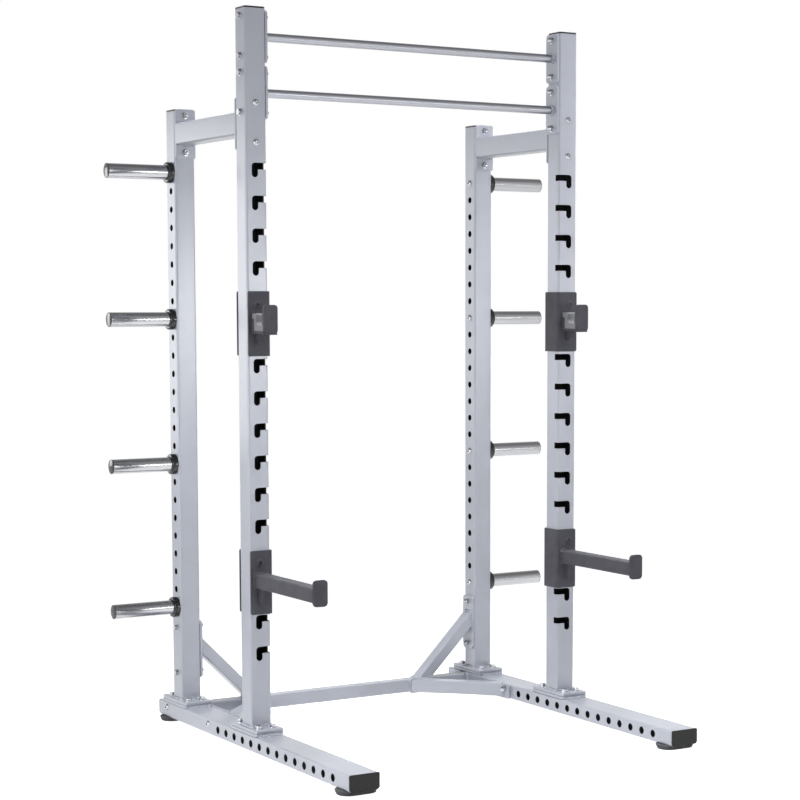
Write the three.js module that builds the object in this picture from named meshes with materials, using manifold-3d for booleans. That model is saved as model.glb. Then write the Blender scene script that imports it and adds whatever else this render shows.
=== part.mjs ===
// Squat rack: slotted uprights, plate horns, two bar hooks and two spotter arms.
// Millimetres. X runs across the rack, the front faces -Y, Z is up and the floor is Z = 0.

import * as THREE from "three";
import { mergeVertices } from "three/addons/utils/BufferGeometryUtils.js";
import Module from "manifold-3d";

const wasm = await Module();
wasm.setup();

// Driving dimensions of the frame
const frontHeight = 2310; // floor to the top of the front uprights' caps
const topStepHeight = 270; // step from the rear uprights' tops up to the front ones'
const frameWidth = 1160; // left upright centre to right upright centre
const frameDepth = 528; // front upright centre to rear upright centre
const frontReach = 700; // front upright centre to the front end of the rail
const rearReach = 122; // rear upright centre to the rear end of the rail

// Clearance between pieces that touch, and how far a cut runs past a face
const seatGap = 0.3;
const overrun = 2;

// Steps in which round shapes are drawn
const cornerSteps = 1;
const slotSteps = 2;
const holeSteps = 3;
const plateCornerSteps = 1;
const footCornerSteps = 2;
const hornSides = 12;
const pegSides = 10;
const barSides = 12;

// Upright tube
const uprightSize = 70;
const uprightWall = 4;
const uprightCorner = 7;

// J-slots of the front uprights
const slotPitch = 100;
const lowestSlotTopZ = 338.6;
const slotTopClear = 450; // plain tube above the top slot, at least
const slotWidth = 21;
const slotHeight = 44.6;
const slotRunHeight = 20.6;
const slotInset = 40; // inner face of the upright to the middle of the leg
const slotMouthDepth = 21; // how far the mouth runs back along the inner face

// Hole row of the rear uprights
const holePitch = 60;
const lowestHoleZ = 396.5;
const holeTopClear = 190; // plain tube above the top hole, at least
const uprightHole = 22;

// Base rail
const railWidth = 100;
const railHeight = 50;
const railWall = 4;
const railCorner = 6;
const railHole = 24;
const railHoleInset = 101; // front end of the rail to the first hole
const railHoleEndClear = 30; // last hole to the crossmember's plate, at least
const railCapThickness = 4;
const railCapChamfer = 6;
const railCapPlug = 18;

// Rubber foot pad
const footThickness = 14.7;
const footWidth = 128;
const footLength = 76;
const footInset = 13; // end of the rail to the pad
const footCorner = 32;
const footTaperShare = 0.93; // sole's size as a share of the top's

// Plates between upright and rail
const seatPlateThickness = 10;
const seatPlateLength = 190;
const seatPlateCorner = 10;

// Cap on top of an upright
const capThickness = 5;
const capPlug = 20;

// Side arm between front and rear upright
const armPlateHeight = 160;
const armPlateThickness = 8;
const armPlateCorner = 8;
const armVent = 20;

// Pull-up bars
const topBarDrop = 87; // top of the front uprights to the upper bar
const barSpacing = 170;
const barDiameter = 27;
const barWall = 3;
const barVent = 10;
const barPlateHeight = 160;
const barPlateWidth = 66;
const barPlateThickness = 8;
const barPlateCorner = 12;
const barFlareRadius = 18;
const barFlareLength = 7;

// Rear crossmember
const crossTube = 45;
const crossWall = 3;
const crossCorner = 5;
const crossPlateThickness = 8;
const crossPlateFrontReach = 66; // diagonal arm's end to the plate's front edge
const crossPlateRearReach = 82; // rear upright centre to the plate's rear edge
const crossPlateCorner = 8;
const diagonalReach = 232; // how far a diagonal arm runs forward, and inward too

// Brace from the rear upright down to the crossmember
const braceWidth = 40;
const braceDepth = 50;
const braceWall = 3;
const braceCorner = 5;
const braceReach = 197; // plate to the middle of the foot, and the height of the climb
const bracePlateHeight = 193;
const bracePlateWidth = 66;
const bracePlateThickness = 8;
const bracePlateCorner = 12;
const bracePlateDrop = 108; // brace's centre line down to the plate's lower edge

// Plate horn with its stop collar and end cap
const hornCount = 4;
const hornDiameter = 48;
const hornWall = 3.5;
const hornLength = 224;
const hornSeatThickness = 8;
const collarDiameter = 68;
const collarLength = 18;
const collarChamfer = 2.5;
const hornCapThickness = 3;
const hornCapPlug = 12;
const hornCapChamfer = 1;

// Bracket that carries a hook or a spotter arm on a front upright
const bracketPlate = 6;
const bracketCorner = 6;
const bracketBend = 9; // outer radius of its two bends
const pegPlay = 1; // peg to the side of the slot
const pegTipClear = 3; // peg tip to the rear edge of the slot's mouth
const pegChamfer = 1.5;
const pegHeadDiameter = 26;
const pegHeadHeight = 5;
const pegHeadChamfer = 1.6;
const hookSlotsBelowTop = 4; // slot of the hook's upper peg, counted down
const spotterSlotsAboveBottom = 3; // slot of the arm's upper peg, counted up

// Hook: its bracket's margins, shelf, lip and web
const hookTopMargin = 42.5; // upper peg to the bracket's top edge
const hookBottomMargin = 57.5; // lower peg to the bracket's bottom edge
const cradleWidth = 48;
const cradleDepth = 75.4; // bracket's face to the inside of the lip
const cradlePlate = 8;
const cradleRise = 12.5; // lower peg up to the shelf's underside
const lipHeight = 88;
const lipCorner = 11;
const hookWebThickness = 12;
const hookWebTopDepth = 27;
const hookWebToeDepth = 12;
const hookWebHeight = 32;
const hookWebEdgeHeight = 20; // upright front edge below the shelf
const hookLegDepth = 12.7; // steel leg behind the liner, down to the shelf
const hookLegHeight = 37;

// Plastic liner in the hook
const linerBackThickness = 15;
const linerSeatThickness = 18;
const linerFrontThickness = 7;
const linerHeight = 53;
const linerCorner = 14;
const linerEdge = 4;
const linerSideInset = 1;

// Spotter arm: its bracket's margins, tube, end plate and web
const spotterTopMargin = 37.5;
const spotterBottomMargin = 62.5;
const spotterTube = 45;
const spotterWall = 3;
const spotterCorner = 5;
const spotterRise = 21.5; // lower peg up to the tube's underside
const spotterReach = 396; // bracket's face to the front of the end plate
const spotterEndThickness = 8;
const spotterEndWidth = 48;
const spotterEndHeight = 80;
const spotterEndCorner = 12;
const spotterEndDrop = 11; // tube's underside down to the end plate's lower edge
const spotterVent = 12;
const spotterWebThickness = 8;
const spotterWebDepth = 20;
const spotterWebHeight = 52;
const spotterWebToeDepth = 16;

// Places worked out from the sizes above
const railLength = frontReach + frameDepth + rearReach;
const frontUprightY = frontReach - railLength / 2;
const rearUprightY = frontUprightY + frameDepth;
const rearHeight = frontHeight - topStepHeight;
const sideX = frameWidth / 2;
const innerX = sideX - uprightSize / 2;
const outerX = sideX + uprightSize / 2;
const frontFaceY = frontUprightY - uprightSize / 2;
const backFaceY = frontUprightY + uprightSize / 2;
const rearFrontFaceY = rearUprightY - uprightSize / 2;
const railBottomZ = footThickness + seatGap;
const railTopZ = railBottomZ + railHeight;
const railInnerX = sideX - railWidth / 2;
const railOuterX = sideX + railWidth / 2;
const plateSeamZ = railTopZ + seatPlateThickness;
const uprightBottomZ = plateSeamZ + seatGap + seatPlateThickness;
const crossBottomZ = railTopZ - crossTube;
const crossPlateX = railInnerX - seatGap - crossPlateThickness;
const diagonalEndY = rearUprightY - diagonalReach;
const crossPlateFrontY = diagonalEndY - crossPlateFrontReach;
const crossPlateRearY = rearUprightY + crossPlateRearReach;
const slotLegX = innerX + slotInset;
const slotCount = Math.floor((frontHeight - slotTopClear - lowestSlotTopZ) / slotPitch) + 1;
const holeCount = Math.floor((rearHeight - holeTopClear - lowestHoleZ) / holePitch) + 1;
const hornHoleStep = Math.floor((holeCount - 1) / (hornCount - 1));
const pegRadius = slotWidth / 2 - pegPlay;
const bracketFrontY = frontFaceY - seatGap - bracketPlate;
const bracketBackY = backFaceY + seatGap + bracketPlate;
const bracketSideX = innerX - seatGap - bracketPlate;

// Finishes
const silverCoat = new THREE.MeshStandardMaterial({ color: 0xc3c8d2, roughness: 0.45, metalness: 0.3 });
const charcoalCoat = new THREE.MeshStandardMaterial({ color: 0x47474c, roughness: 0.55, metalness: 0.2 });
const chrome = new THREE.MeshStandardMaterial({ color: 0xdedfe2, roughness: 0.12, metalness: 1 });
const blackPlastic = new THREE.MeshStandardMaterial({ color: 0x1d1e20, roughness: 0.5, metalness: 0 });
const rubber = new THREE.MeshStandardMaterial({ color: 0x3a3a3c, roughness: 0.85, metalness: 0 });
const palePlastic = new THREE.MeshStandardMaterial({ color: 0xb4b5b8, roughness: 0.5, metalness: 0 });

// A closed geometry as a solid that can be joined and cut
function toSolid(geometry) {
  geometry.deleteAttribute("normal");
  geometry.deleteAttribute("uv");
  const merged = mergeVertices(geometry);
  const mesh = new wasm.Mesh({
    numProp: 3,
    vertProperties: new Float32Array(merged.attributes.position.array),
    triVerts: new Uint32Array(merged.index.array),
  });
  return new wasm.Manifold(mesh);
}

// A solid back as a geometry for the scene
function toGeometry(solid) {
  const mesh = solid.getMesh();
  const geometry = new THREE.BufferGeometry();
  geometry.setAttribute("position", new THREE.BufferAttribute(mesh.vertProperties, 3));
  geometry.setIndex(new THREE.BufferAttribute(mesh.triVerts, 1));
  geometry.computeVertexNormals();
  return geometry;
}

function union(solids) {
  return solids.reduce((whole, piece) => whole.add(piece));
}

// Outline directions for an extrusion along each axis: first, second, run
const X = new THREE.Vector3(1, 0, 0);
const Y = new THREE.Vector3(0, 1, 0);
const Z = new THREE.Vector3(0, 0, 1);
const extrusions = {
  x: { basis: new THREE.Matrix4().makeBasis(Y, Z, X), shift: (low) => [low, 0, 0] },
  y: { basis: new THREE.Matrix4().makeBasis(X, Z, Y.clone().negate()), shift: (low, high) => [0, high, 0] },
  z: { basis: new THREE.Matrix4().makeBasis(X, Y, Z), shift: (low) => [0, 0, low] },
};

// An outline run along an axis. Along X it is drawn in (y, z), along Y in (x, z), along Z in (x, y)
function prism(axis, outline, low, high, steps = cornerSteps) {
  const geometry = new THREE.ExtrudeGeometry(outline, {
    depth: high - low,
    bevelEnabled: false,
    curveSegments: steps,
  });
  geometry.applyMatrix4(extrusions[axis].basis);
  geometry.translate(...extrusions[axis].shift(low, high));
  return toSolid(geometry);
}

// A rectangle with round corners, given by its four sides
function rounded(left, right, bottom, top, radius) {
  const shape = new THREE.Shape();
  shape.moveTo(left + radius, bottom);
  shape.lineTo(right - radius, bottom);
  shape.absarc(right - radius, bottom + radius, radius, -Math.PI / 2, 0);
  shape.lineTo(right, top - radius);
  shape.absarc(right - radius, top - radius, radius, 0, Math.PI / 2);
  shape.lineTo(left + radius, top);
  shape.absarc(left + radius, top - radius, radius, Math.PI / 2, Math.PI);
  shape.lineTo(left, bottom + radius);
  shape.absarc(left + radius, bottom + radius, radius, Math.PI, 1.5 * Math.PI);
  return shape;
}

// The same, given by its centre and sizes
function roundedAbout(u, v, width, height, radius) {
  return rounded(u - width / 2, u + width / 2, v - height / 2, v + height / 2, radius);
}

function circle(u, v, radius) {
  const shape = new THREE.Shape();
  shape.absarc(u, v, radius, 0, 2 * Math.PI);
  return shape;
}

function polygon(points) {
  return new THREE.Shape(points.map(([u, v]) => new THREE.Vector2(u, v)));
}

// Section of a tube: a rounded rectangle with its bore
function tubeSection(u, v, width, height, wall, corner) {
  const shape = roundedAbout(u, v, width, height, corner);
  shape.holes.push(roundedAbout(u, v, width - 2 * wall, height - 2 * wall, corner - wall / 2));
  return shape;
}

// A profile of (radius, height) turned about Y, from the lower end up
function turned(profile, sides) {
  const points = profile.map(([radius, height]) => new THREE.Vector2(radius, height));
  return new THREE.LatheGeometry(points, sides);
}

// The same with its height laid along +X from a given place
function turnedAlongX(profile, sides, x, y, z) {
  const geometry = turned(profile, sides);
  geometry.rotateZ(-Math.PI / 2);
  geometry.translate(x, y, z);
  return toSolid(geometry);
}

function turnedAlongY(profile, sides, x, y, z) {
  const geometry = turned(profile, sides);
  geometry.translate(x, y, z);
  return toSolid(geometry);
}

// A straight beam between two points, its section's height along the given direction
function beam(start, end, width, height, corner, heightDirection) {
  const run = end.clone().sub(start);
  const length = run.length();
  const along = run.normalize();
  const across = new THREE.Vector3().crossVectors(heightDirection, along);
  const geometry = new THREE.ExtrudeGeometry(roundedAbout(0, 0, width, height, corner), {
    depth: length,
    bevelEnabled: false,
    curveSegments: cornerSteps,
  });
  geometry.applyMatrix4(new THREE.Matrix4().makeBasis(across, heightDirection, along));
  geometry.translate(start.x, start.y, start.z);
  return toSolid(geometry);
}

// Foot plate of an upright, or seat plate on the rail, which are alike
function seatPlate(centreY, bottomZ) {
  const outline = roundedAbout(sideX, centreY, railWidth, seatPlateLength, seatPlateCorner);
  return prism("z", outline, bottomZ, bottomZ + seatPlateThickness, plateCornerSteps);
}

// Plain upright: tube welded on its foot plate
function plainUpright(centreY, height) {
  const section = tubeSection(sideX, centreY, uprightSize, uprightSize, uprightWall, uprightCorner);
  const weldDepth = seatPlateThickness / 2;
  const tube = prism("z", section, uprightBottomZ - weldDepth, height - capThickness - seatGap);
  return tube.add(seatPlate(centreY, plateSeamZ + seatGap));
}

// Slot numbers count up from the lowest
function slotTopZ(number) {
  return lowestSlotTopZ + number * slotPitch;
}

// Middle of the round seat at the foot of a slot's leg
function slotSeatZ(number) {
  return slotTopZ(number) - slotHeight + slotWidth / 2;
}

// J-shaped cut through the front wall, open to the inner face through a square mouth
function slotCut(number) {
  const topZ = slotTopZ(number);
  const runBottomZ = topZ - slotRunHeight;
  const radius = slotWidth / 2;
  const openX = innerX - overrun;
  const outline = new THREE.Shape();
  outline.moveTo(openX, runBottomZ);
  outline.lineTo(slotLegX - radius, runBottomZ);
  outline.absarc(slotLegX, slotSeatZ(number), radius, Math.PI, 2 * Math.PI);
  outline.absarc(slotLegX, topZ - radius, radius, 0, Math.PI / 2);
  outline.lineTo(openX, topZ);
  const frontY = frontFaceY - overrun;
  const cut = prism("y", outline, frontY, frontFaceY + uprightWall + overrun, slotSteps);
  const mouth = polygon([
    [openX, frontY],
    [innerX + uprightWall + overrun, frontY],
    [innerX + uprightWall + overrun, frontFaceY + slotMouthDepth],
    [openX, frontFaceY + slotMouthDepth],
  ]);
  return cut.add(prism("z", mouth, runBottomZ, topZ));
}

function frontUpright() {
  let upright = plainUpright(frontUprightY, frontHeight);
  for (let number = 0; number < slotCount; number += 1) {
    upright = upright.subtract(slotCut(number));
  }
  return upright;
}

function holeZ(number) {
  return lowestHoleZ + number * holePitch;
}

function rearUpright() {
  let upright = plainUpright(rearUprightY, rearHeight);
  for (let number = 0; number < holeCount; number += 1) {
    const outline = circle(rearUprightY, holeZ(number), uprightHole / 2);
    upright = upright.subtract(prism("x", outline, innerX - overrun, outerX + overrun, holeSteps));
  }
  return upright;
}

// Plastic cap on an upright, with a plug that sits in the tube
function uprightCap(centreY, height) {
  const plugSize = uprightSize - 2 * uprightWall - 2 * seatGap;
  const top = roundedAbout(sideX, centreY, uprightSize, uprightSize, uprightCorner);
  const plug = roundedAbout(sideX, centreY, plugSize, plugSize, uprightCorner - uprightWall / 2);
  const bottomZ = height - capThickness;
  const plugTopZ = bottomZ + capThickness / 2;
  return prism("z", top, bottomZ, height).add(prism("z", plug, bottomZ - capPlug, plugTopZ));
}

// Base rail with its side holes and the two plates that the uprights stand on
function baseRail() {
  const middleZ = railBottomZ + railHeight / 2;
  const endY = railLength / 2 - railCapThickness - seatGap;
  const section = tubeSection(sideX, middleZ, railWidth, railHeight, railWall, railCorner);
  let rail = prism("y", section, -endY, endY);
  const firstHoleY = railHoleInset - railLength / 2;
  const count = Math.floor((crossPlateFrontY - railHoleEndClear - firstHoleY) / holePitch) + 1;
  for (let number = 0; number < count; number += 1) {
    const outline = circle(firstHoleY + number * holePitch, middleZ, railHole / 2);
    rail = rail.subtract(prism("x", outline, railInnerX - overrun, railOuterX + overrun, holeSteps));
  }
  return rail.add(seatPlate(frontUprightY, railTopZ)).add(seatPlate(rearUprightY, railTopZ));
}

// Insert in a rail's end, its face cut off at the lower corners
function railCap(end) {
  const middleZ = railBottomZ + railHeight / 2;
  const face = polygon([
    [railInnerX + railCapChamfer, railBottomZ],
    [railOuterX - railCapChamfer, railBottomZ],
    [railOuterX, railBottomZ + railCapChamfer],
    [railOuterX, railTopZ - railCorner / 2],
    [railOuterX - railCorner / 2, railTopZ],
    [railInnerX + railCorner / 2, railTopZ],
    [railInnerX, railTopZ - railCorner / 2],
    [railInnerX, railBottomZ + railCapChamfer],
  ]);
  const plugWidth = railWidth - 2 * railWall - 2 * seatGap;
  const plugHeight = railHeight - 2 * railWall - 2 * seatGap;
  const plug = roundedAbout(sideX, middleZ, plugWidth, plugHeight, railCorner - railWall / 2);
  const faceY = (end * railLength) / 2;
  const seamY = faceY - end * railCapThickness;
  const plugEndY = seamY - end * railCapPlug;
  const joinY = seamY + (end * railCapThickness) / 2;
  return prism("y", face, Math.min(faceY, seamY), Math.max(faceY, seamY)).add(
    prism("y", plug, Math.min(plugEndY, joinY), Math.max(plugEndY, joinY)),
  );
}

// Rubber pad under a rail's end, wider than the rail and a little narrower at the sole
function footPad(end) {
  const centreY = end * (railLength / 2 - footInset - footLength / 2);
  const outline = roundedAbout(0, 0, footWidth, footLength, footCorner);
  const geometry = new THREE.ExtrudeGeometry(outline, {
    depth: footThickness,
    bevelEnabled: false,
    curveSegments: footCornerSteps,
  });
  const position = geometry.attributes.position;
  for (let index = 0; index < position.count; index += 1) {
    const climb = position.getZ(index) / footThickness;
    const share = footTaperShare + (1 - footTaperShare) * climb;
    position.setX(index, position.getX(index) * share);
    position.setY(index, position.getY(index) * share);
  }
  geometry.translate(sideX, centreY, 0);
  return toSolid(geometry);
}

// Side arm: square tube with a plate at each end, vented through the plates
function sideArm() {
  const centreZ = rearHeight - armPlateHeight / 2;
  const frontY = backFaceY + seatGap;
  const rearY = rearFrontFaceY - seatGap;
  const section = tubeSection(sideX, centreZ, uprightSize, uprightSize, uprightWall, uprightCorner);
  const plate = roundedAbout(sideX, centreZ, uprightSize, armPlateHeight, armPlateCorner);
  const weldDepth = armPlateThickness / 2;
  const vent = circle(sideX, centreZ, armVent / 2);
  return union([
    prism("y", section, frontY + weldDepth, rearY - weldDepth),
    prism("y", plate, frontY, frontY + armPlateThickness, plateCornerSteps),
    prism("y", plate, rearY - armPlateThickness, rearY, plateCornerSteps),
  ]).subtract(prism("y", vent, frontY - overrun, rearY + overrun, holeSteps));
}

// Pull-up bar: round tube that flares into a rounded plate at each end
function pullUpBar(centreZ) {
  const endX = innerX - seatGap;
  const plateX = endX - barPlateThickness;
  const radius = barDiameter / 2;
  const weldDepth = barPlateThickness / 2;
  const profile = [
    [0, -plateX - weldDepth],
    [barFlareRadius, -plateX - weldDepth],
    [barFlareRadius, -plateX],
    [radius, -plateX + barFlareLength],
    [radius, plateX - barFlareLength],
    [barFlareRadius, plateX],
    [barFlareRadius, plateX + weldDepth],
    [0, plateX + weldDepth],
  ];
  const bore = radius - barWall;
  const boreProfile = [
    [0, -plateX],
    [bore, -plateX],
    [bore, plateX],
    [0, plateX],
  ];
  const plate = roundedAbout(frontUprightY, centreZ, barPlateWidth, barPlateHeight, barPlateCorner);
  const vent = circle(frontUprightY, centreZ, barVent / 2);
  return union([
    turnedAlongX(profile, barSides, 0, frontUprightY, centreZ),
    prism("x", plate, plateX, endX, plateCornerSteps),
    prism("x", plate, -endX, -plateX, plateCornerSteps),
  ])
    .subtract(turnedAlongX(boreProfile, barSides, 0, frontUprightY, centreZ))
    .subtract(prism("x", vent, -endX - overrun, endX + overrun, holeSteps));
}

// Outer form of the crossmember's tubes, or their bores when the wall is taken off
function crossTubes(inset, endX) {
  const size = crossTube - 2 * inset;
  const corner = crossCorner - inset / 2;
  const centreZ = crossBottomZ + crossTube / 2;
  const section = roundedAbout(rearUprightY, centreZ, size, size, corner);
  const tubes = [prism("x", section, -endX, endX)];
  for (const side of [-1, 1]) {
    const inner = new THREE.Vector3(side * (crossPlateX - diagonalReach), rearUprightY, centreZ);
    const outer = new THREE.Vector3(side * crossPlateX, diagonalEndY, centreZ);
    const beyond = outer.clone().sub(inner).setLength(crossTube);
    tubes.push(beam(inner, outer.add(beyond), size, size, corner, Z));
  }
  const reach = roundedAbout(0, 0, 2 * endX, 2 * railLength, crossCorner);
  return union(tubes).intersect(prism("z", reach, 0, frontHeight));
}

// Rear crossmember: straight tube, two diagonal arms and the plates that bolt to the rails
function rearCrossmember() {
  const plateEndX = railInnerX - seatGap;
  const weldDepth = crossPlateThickness / 2;
  const plate = rounded(crossPlateFrontY, crossPlateRearY, railBottomZ, railTopZ, crossPlateCorner);
  return union([
    crossTubes(0, crossPlateX + weldDepth),
    prism("x", plate, crossPlateX, plateEndX, plateCornerSteps),
    prism("x", plate, -plateEndX, -crossPlateX, plateCornerSteps),
  ]).subtract(crossTubes(crossWall, plateEndX + overrun));
}

// Brace at 45 degrees, cut flush to its plate above and to the crossmember below
function brace() {
  const plateX = innerX - seatGap - bracePlateThickness;
  const footZ = railTopZ + seatGap;
  const topZ = footZ + braceReach;
  const top = new THREE.Vector3(plateX, rearUprightY, topZ);
  const foot = new THREE.Vector3(plateX - braceReach, rearUprightY, footZ);
  const beyond = top.clone().sub(foot).setLength(braceDepth);
  const start = foot.clone().sub(beyond);
  const end = top.clone().add(beyond);
  const boreWidth = braceWidth - 2 * braceWall;
  const boreDepth = braceDepth - 2 * braceWall;
  const tube = beam(start, end, braceWidth, braceDepth, braceCorner, Y).subtract(
    beam(start, end, boreWidth, boreDepth, braceCorner - braceWall / 2, Y),
  );
  const room = polygon([
    [0, footZ],
    [plateX + bracePlateThickness / 2, footZ],
    [plateX + bracePlateThickness / 2, frontHeight],
    [0, frontHeight],
  ]);
  const lowZ = topZ - bracePlateDrop;
  const plateFrontY = rearUprightY - bracePlateWidth / 2;
  const plateRearY = rearUprightY + bracePlateWidth / 2;
  const plate = rounded(plateFrontY, plateRearY, lowZ, lowZ + bracePlateHeight, bracePlateCorner);
  return tube
    .intersect(prism("y", room, 0, railLength))
    .add(prism("x", plate, plateX, innerX - seatGap, plateCornerSteps));
}

// Plate horn: tube with a closed seat against the upright and an open outer end
function horn(centreZ) {
  const radius = hornDiameter / 2;
  const profile = [
    [0, 0],
    [radius, 0],
    [radius, hornLength],
    [radius - hornWall, hornLength],
    [radius - hornWall, hornSeatThickness],
    [0, hornSeatThickness],
  ];
  return turnedAlongX(profile, hornSides, outerX + seatGap, rearUprightY, centreZ);
}

// Bore that clears a horn whose sides are flat, by the same gap all round
function clearBore(radius) {
  return radius + seatGap / Math.cos(Math.PI / hornSides);
}

function hornCollar(centreZ) {
  const bore = clearBore(hornDiameter / 2);
  const radius = collarDiameter / 2;
  const profile = [
    [bore, 0],
    [radius, 0],
    [radius, collarLength - collarChamfer],
    [radius - collarChamfer, collarLength],
    [bore, collarLength],
    [bore, 0],
  ];
  return turnedAlongX(profile, hornSides, outerX + seatGap, rearUprightY, centreZ);
}

function hornCap(centreZ) {
  const radius = hornDiameter / 2;
  const plug = radius - hornWall - seatGap / Math.cos(Math.PI / hornSides);
  const profile = [
    [0, -hornCapPlug],
    [plug, -hornCapPlug],
    [plug, 0],
    [radius, 0],
    [radius, hornCapThickness - hornCapChamfer],
    [radius - hornCapChamfer, hornCapThickness],
    [0, hornCapThickness],
  ];
  return turnedAlongX(profile, hornSides, outerX + hornLength + 2 * seatGap, rearUprightY, centreZ);
}

// Folded plate round three sides of the upright, open at its outer side
function bracketShell(bottomZ, topZ) {
  const insideX = bracketSideX + bracketPlate;
  const insideFrontY = bracketFrontY + bracketPlate;
  const insideBackY = bracketBackY - bracketPlate;
  const bend = bracketBend;
  const fold = new THREE.Shape();
  fold.moveTo(outerX, bracketFrontY);
  fold.lineTo(outerX, insideFrontY);
  fold.lineTo(insideX, insideFrontY);
  fold.lineTo(insideX, insideBackY);
  fold.lineTo(outerX, insideBackY);
  fold.lineTo(outerX, bracketBackY);
  fold.lineTo(bracketSideX + bend, bracketBackY);
  fold.absarc(bracketSideX + bend, bracketBackY - bend, bend, Math.PI / 2, Math.PI);
  fold.lineTo(bracketSideX, bracketFrontY + bend);
  fold.absarc(bracketSideX + bend, bracketFrontY + bend, bend, Math.PI, 1.5 * Math.PI);
  const frontView = rounded(bracketSideX, outerX, bottomZ, topZ, bracketCorner);
  const sideView = rounded(bracketFrontY, bracketBackY, bottomZ, topZ, bracketCorner);
  return prism("z", fold, bottomZ, topZ, plateCornerSteps)
    .intersect(prism("y", frontView, bracketFrontY, bracketBackY, plateCornerSteps))
    .intersect(prism("x", sideView, bracketSideX, outerX, plateCornerSteps));
}

// Peg through the slot, plain at its tip, with a low head in front when it has one
function peg(centreZ, hasHead) {
  const plateDepth = bracketPlate / 2;
  const length = frontFaceY + slotMouthDepth - pegTipClear - bracketFrontY;
  const headRadius = pegHeadDiameter / 2;
  const head = [
    [0, -pegHeadHeight],
    [headRadius - pegHeadChamfer, -pegHeadHeight],
    [headRadius, -pegHeadHeight + pegHeadChamfer],
    [headRadius, plateDepth],
    [pegRadius, plateDepth],
  ];
  const plain = [
    [0, plateDepth],
    [pegRadius, plateDepth],
  ];
  const tip = [
    [pegRadius, length - pegChamfer],
    [pegRadius - pegChamfer, length],
    [0, length],
  ];
  const profile = hasHead ? [...head, ...tip] : [...plain, ...tip];
  return turnedAlongY(profile, pegSides, slotLegX, bracketFrontY, centreZ);
}

// Bracket with its two pegs. The upper peg sits in the slot of the given number
function bracket(number, topMargin, bottomMargin) {
  const upperZ = slotSeatZ(number);
  const lowerZ = slotSeatZ(number - 1);
  return union([
    bracketShell(lowerZ - bottomMargin, upperZ + topMargin),
    peg(upperZ, true),
    peg(lowerZ, false),
  ]);
}

const hookSlot = slotCount - 1 - hookSlotsBelowTop;

// Underside of the hook's shelf
function hookShelfZ() {
  return slotSeatZ(hookSlot - 1) + cradleRise;
}

// Bar hook: bracket, shelf with its rear leg, upright lip and the web below the shelf
function barHook() {
  const lowZ = hookShelfZ();
  const left = sideX - cradleWidth / 2;
  const right = sideX + cradleWidth / 2;
  const lipInnerY = bracketFrontY - cradleDepth;
  const lipOuterY = lipInnerY - cradlePlate;
  const joinY = bracketFrontY + bracketPlate / 2;
  const shelf = polygon([
    [left, lowZ],
    [right, lowZ],
    [right, lowZ + cradlePlate],
    [left, lowZ + cradlePlate],
  ]);
  const lip = rounded(left, right, lowZ, lowZ + lipHeight, lipCorner);
  const leg = polygon([
    [left, lowZ],
    [right, lowZ],
    [right, lowZ + cradlePlate + hookLegHeight],
    [left, lowZ + cradlePlate + hookLegHeight],
  ]);
  const web = polygon([
    [joinY, lowZ + cradlePlate / 2],
    [bracketFrontY - hookWebTopDepth, lowZ + cradlePlate / 2],
    [bracketFrontY - hookWebTopDepth, lowZ - hookWebEdgeHeight],
    [bracketFrontY - hookWebToeDepth, lowZ - hookWebHeight],
    [joinY, lowZ - hookWebHeight],
  ]);
  return union([
    bracket(hookSlot, hookTopMargin, hookBottomMargin),
    prism("y", shelf, lipInnerY - cradlePlate / 2, joinY),
    prism("y", lip, lipOuterY, lipInnerY, plateCornerSteps),
    prism("y", leg, bracketFrontY - hookLegDepth, joinY),
    prism("x", web, sideX - hookWebThickness / 2, sideX + hookWebThickness / 2),
  ]);
}

// Liner that cradles the bar: back wall stepped over the steel leg, seat and front wall
function hookLiner() {
  const backY = bracketFrontY - seatGap;
  const frontY = bracketFrontY - cradleDepth + seatGap;
  const lowZ = hookShelfZ() + cradlePlate + seatGap;
  const topZ = lowZ + linerHeight;
  const seatZ = lowZ + linerSeatThickness;
  const legY = backY - hookLegDepth;
  const legTopZ = lowZ + hookLegHeight;
  const rearWallY = legY - linerBackThickness;
  const frontWallY = frontY + linerFrontThickness;
  const profile = new THREE.Shape();
  profile.moveTo(frontY, lowZ);
  profile.lineTo(legY, lowZ);
  profile.lineTo(legY, legTopZ);
  profile.lineTo(backY, legTopZ);
  profile.lineTo(backY, topZ);
  profile.lineTo(rearWallY + linerEdge, topZ);
  profile.lineTo(rearWallY, topZ - linerEdge);
  profile.lineTo(rearWallY, seatZ + linerCorner);
  profile.absarc(rearWallY - linerCorner, seatZ + linerCorner, linerCorner, 0, -Math.PI / 2, true);
  profile.absarc(frontWallY + linerCorner, seatZ + linerCorner, linerCorner, -Math.PI / 2, -Math.PI, true);
  profile.lineTo(frontWallY, topZ - linerEdge);
  profile.lineTo(frontWallY - linerEdge, topZ);
  profile.lineTo(frontY, topZ);
  const halfWidth = cradleWidth / 2 - linerSideInset;
  return prism("x", profile, sideX - halfWidth, sideX + halfWidth, slotSteps);
}

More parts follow.
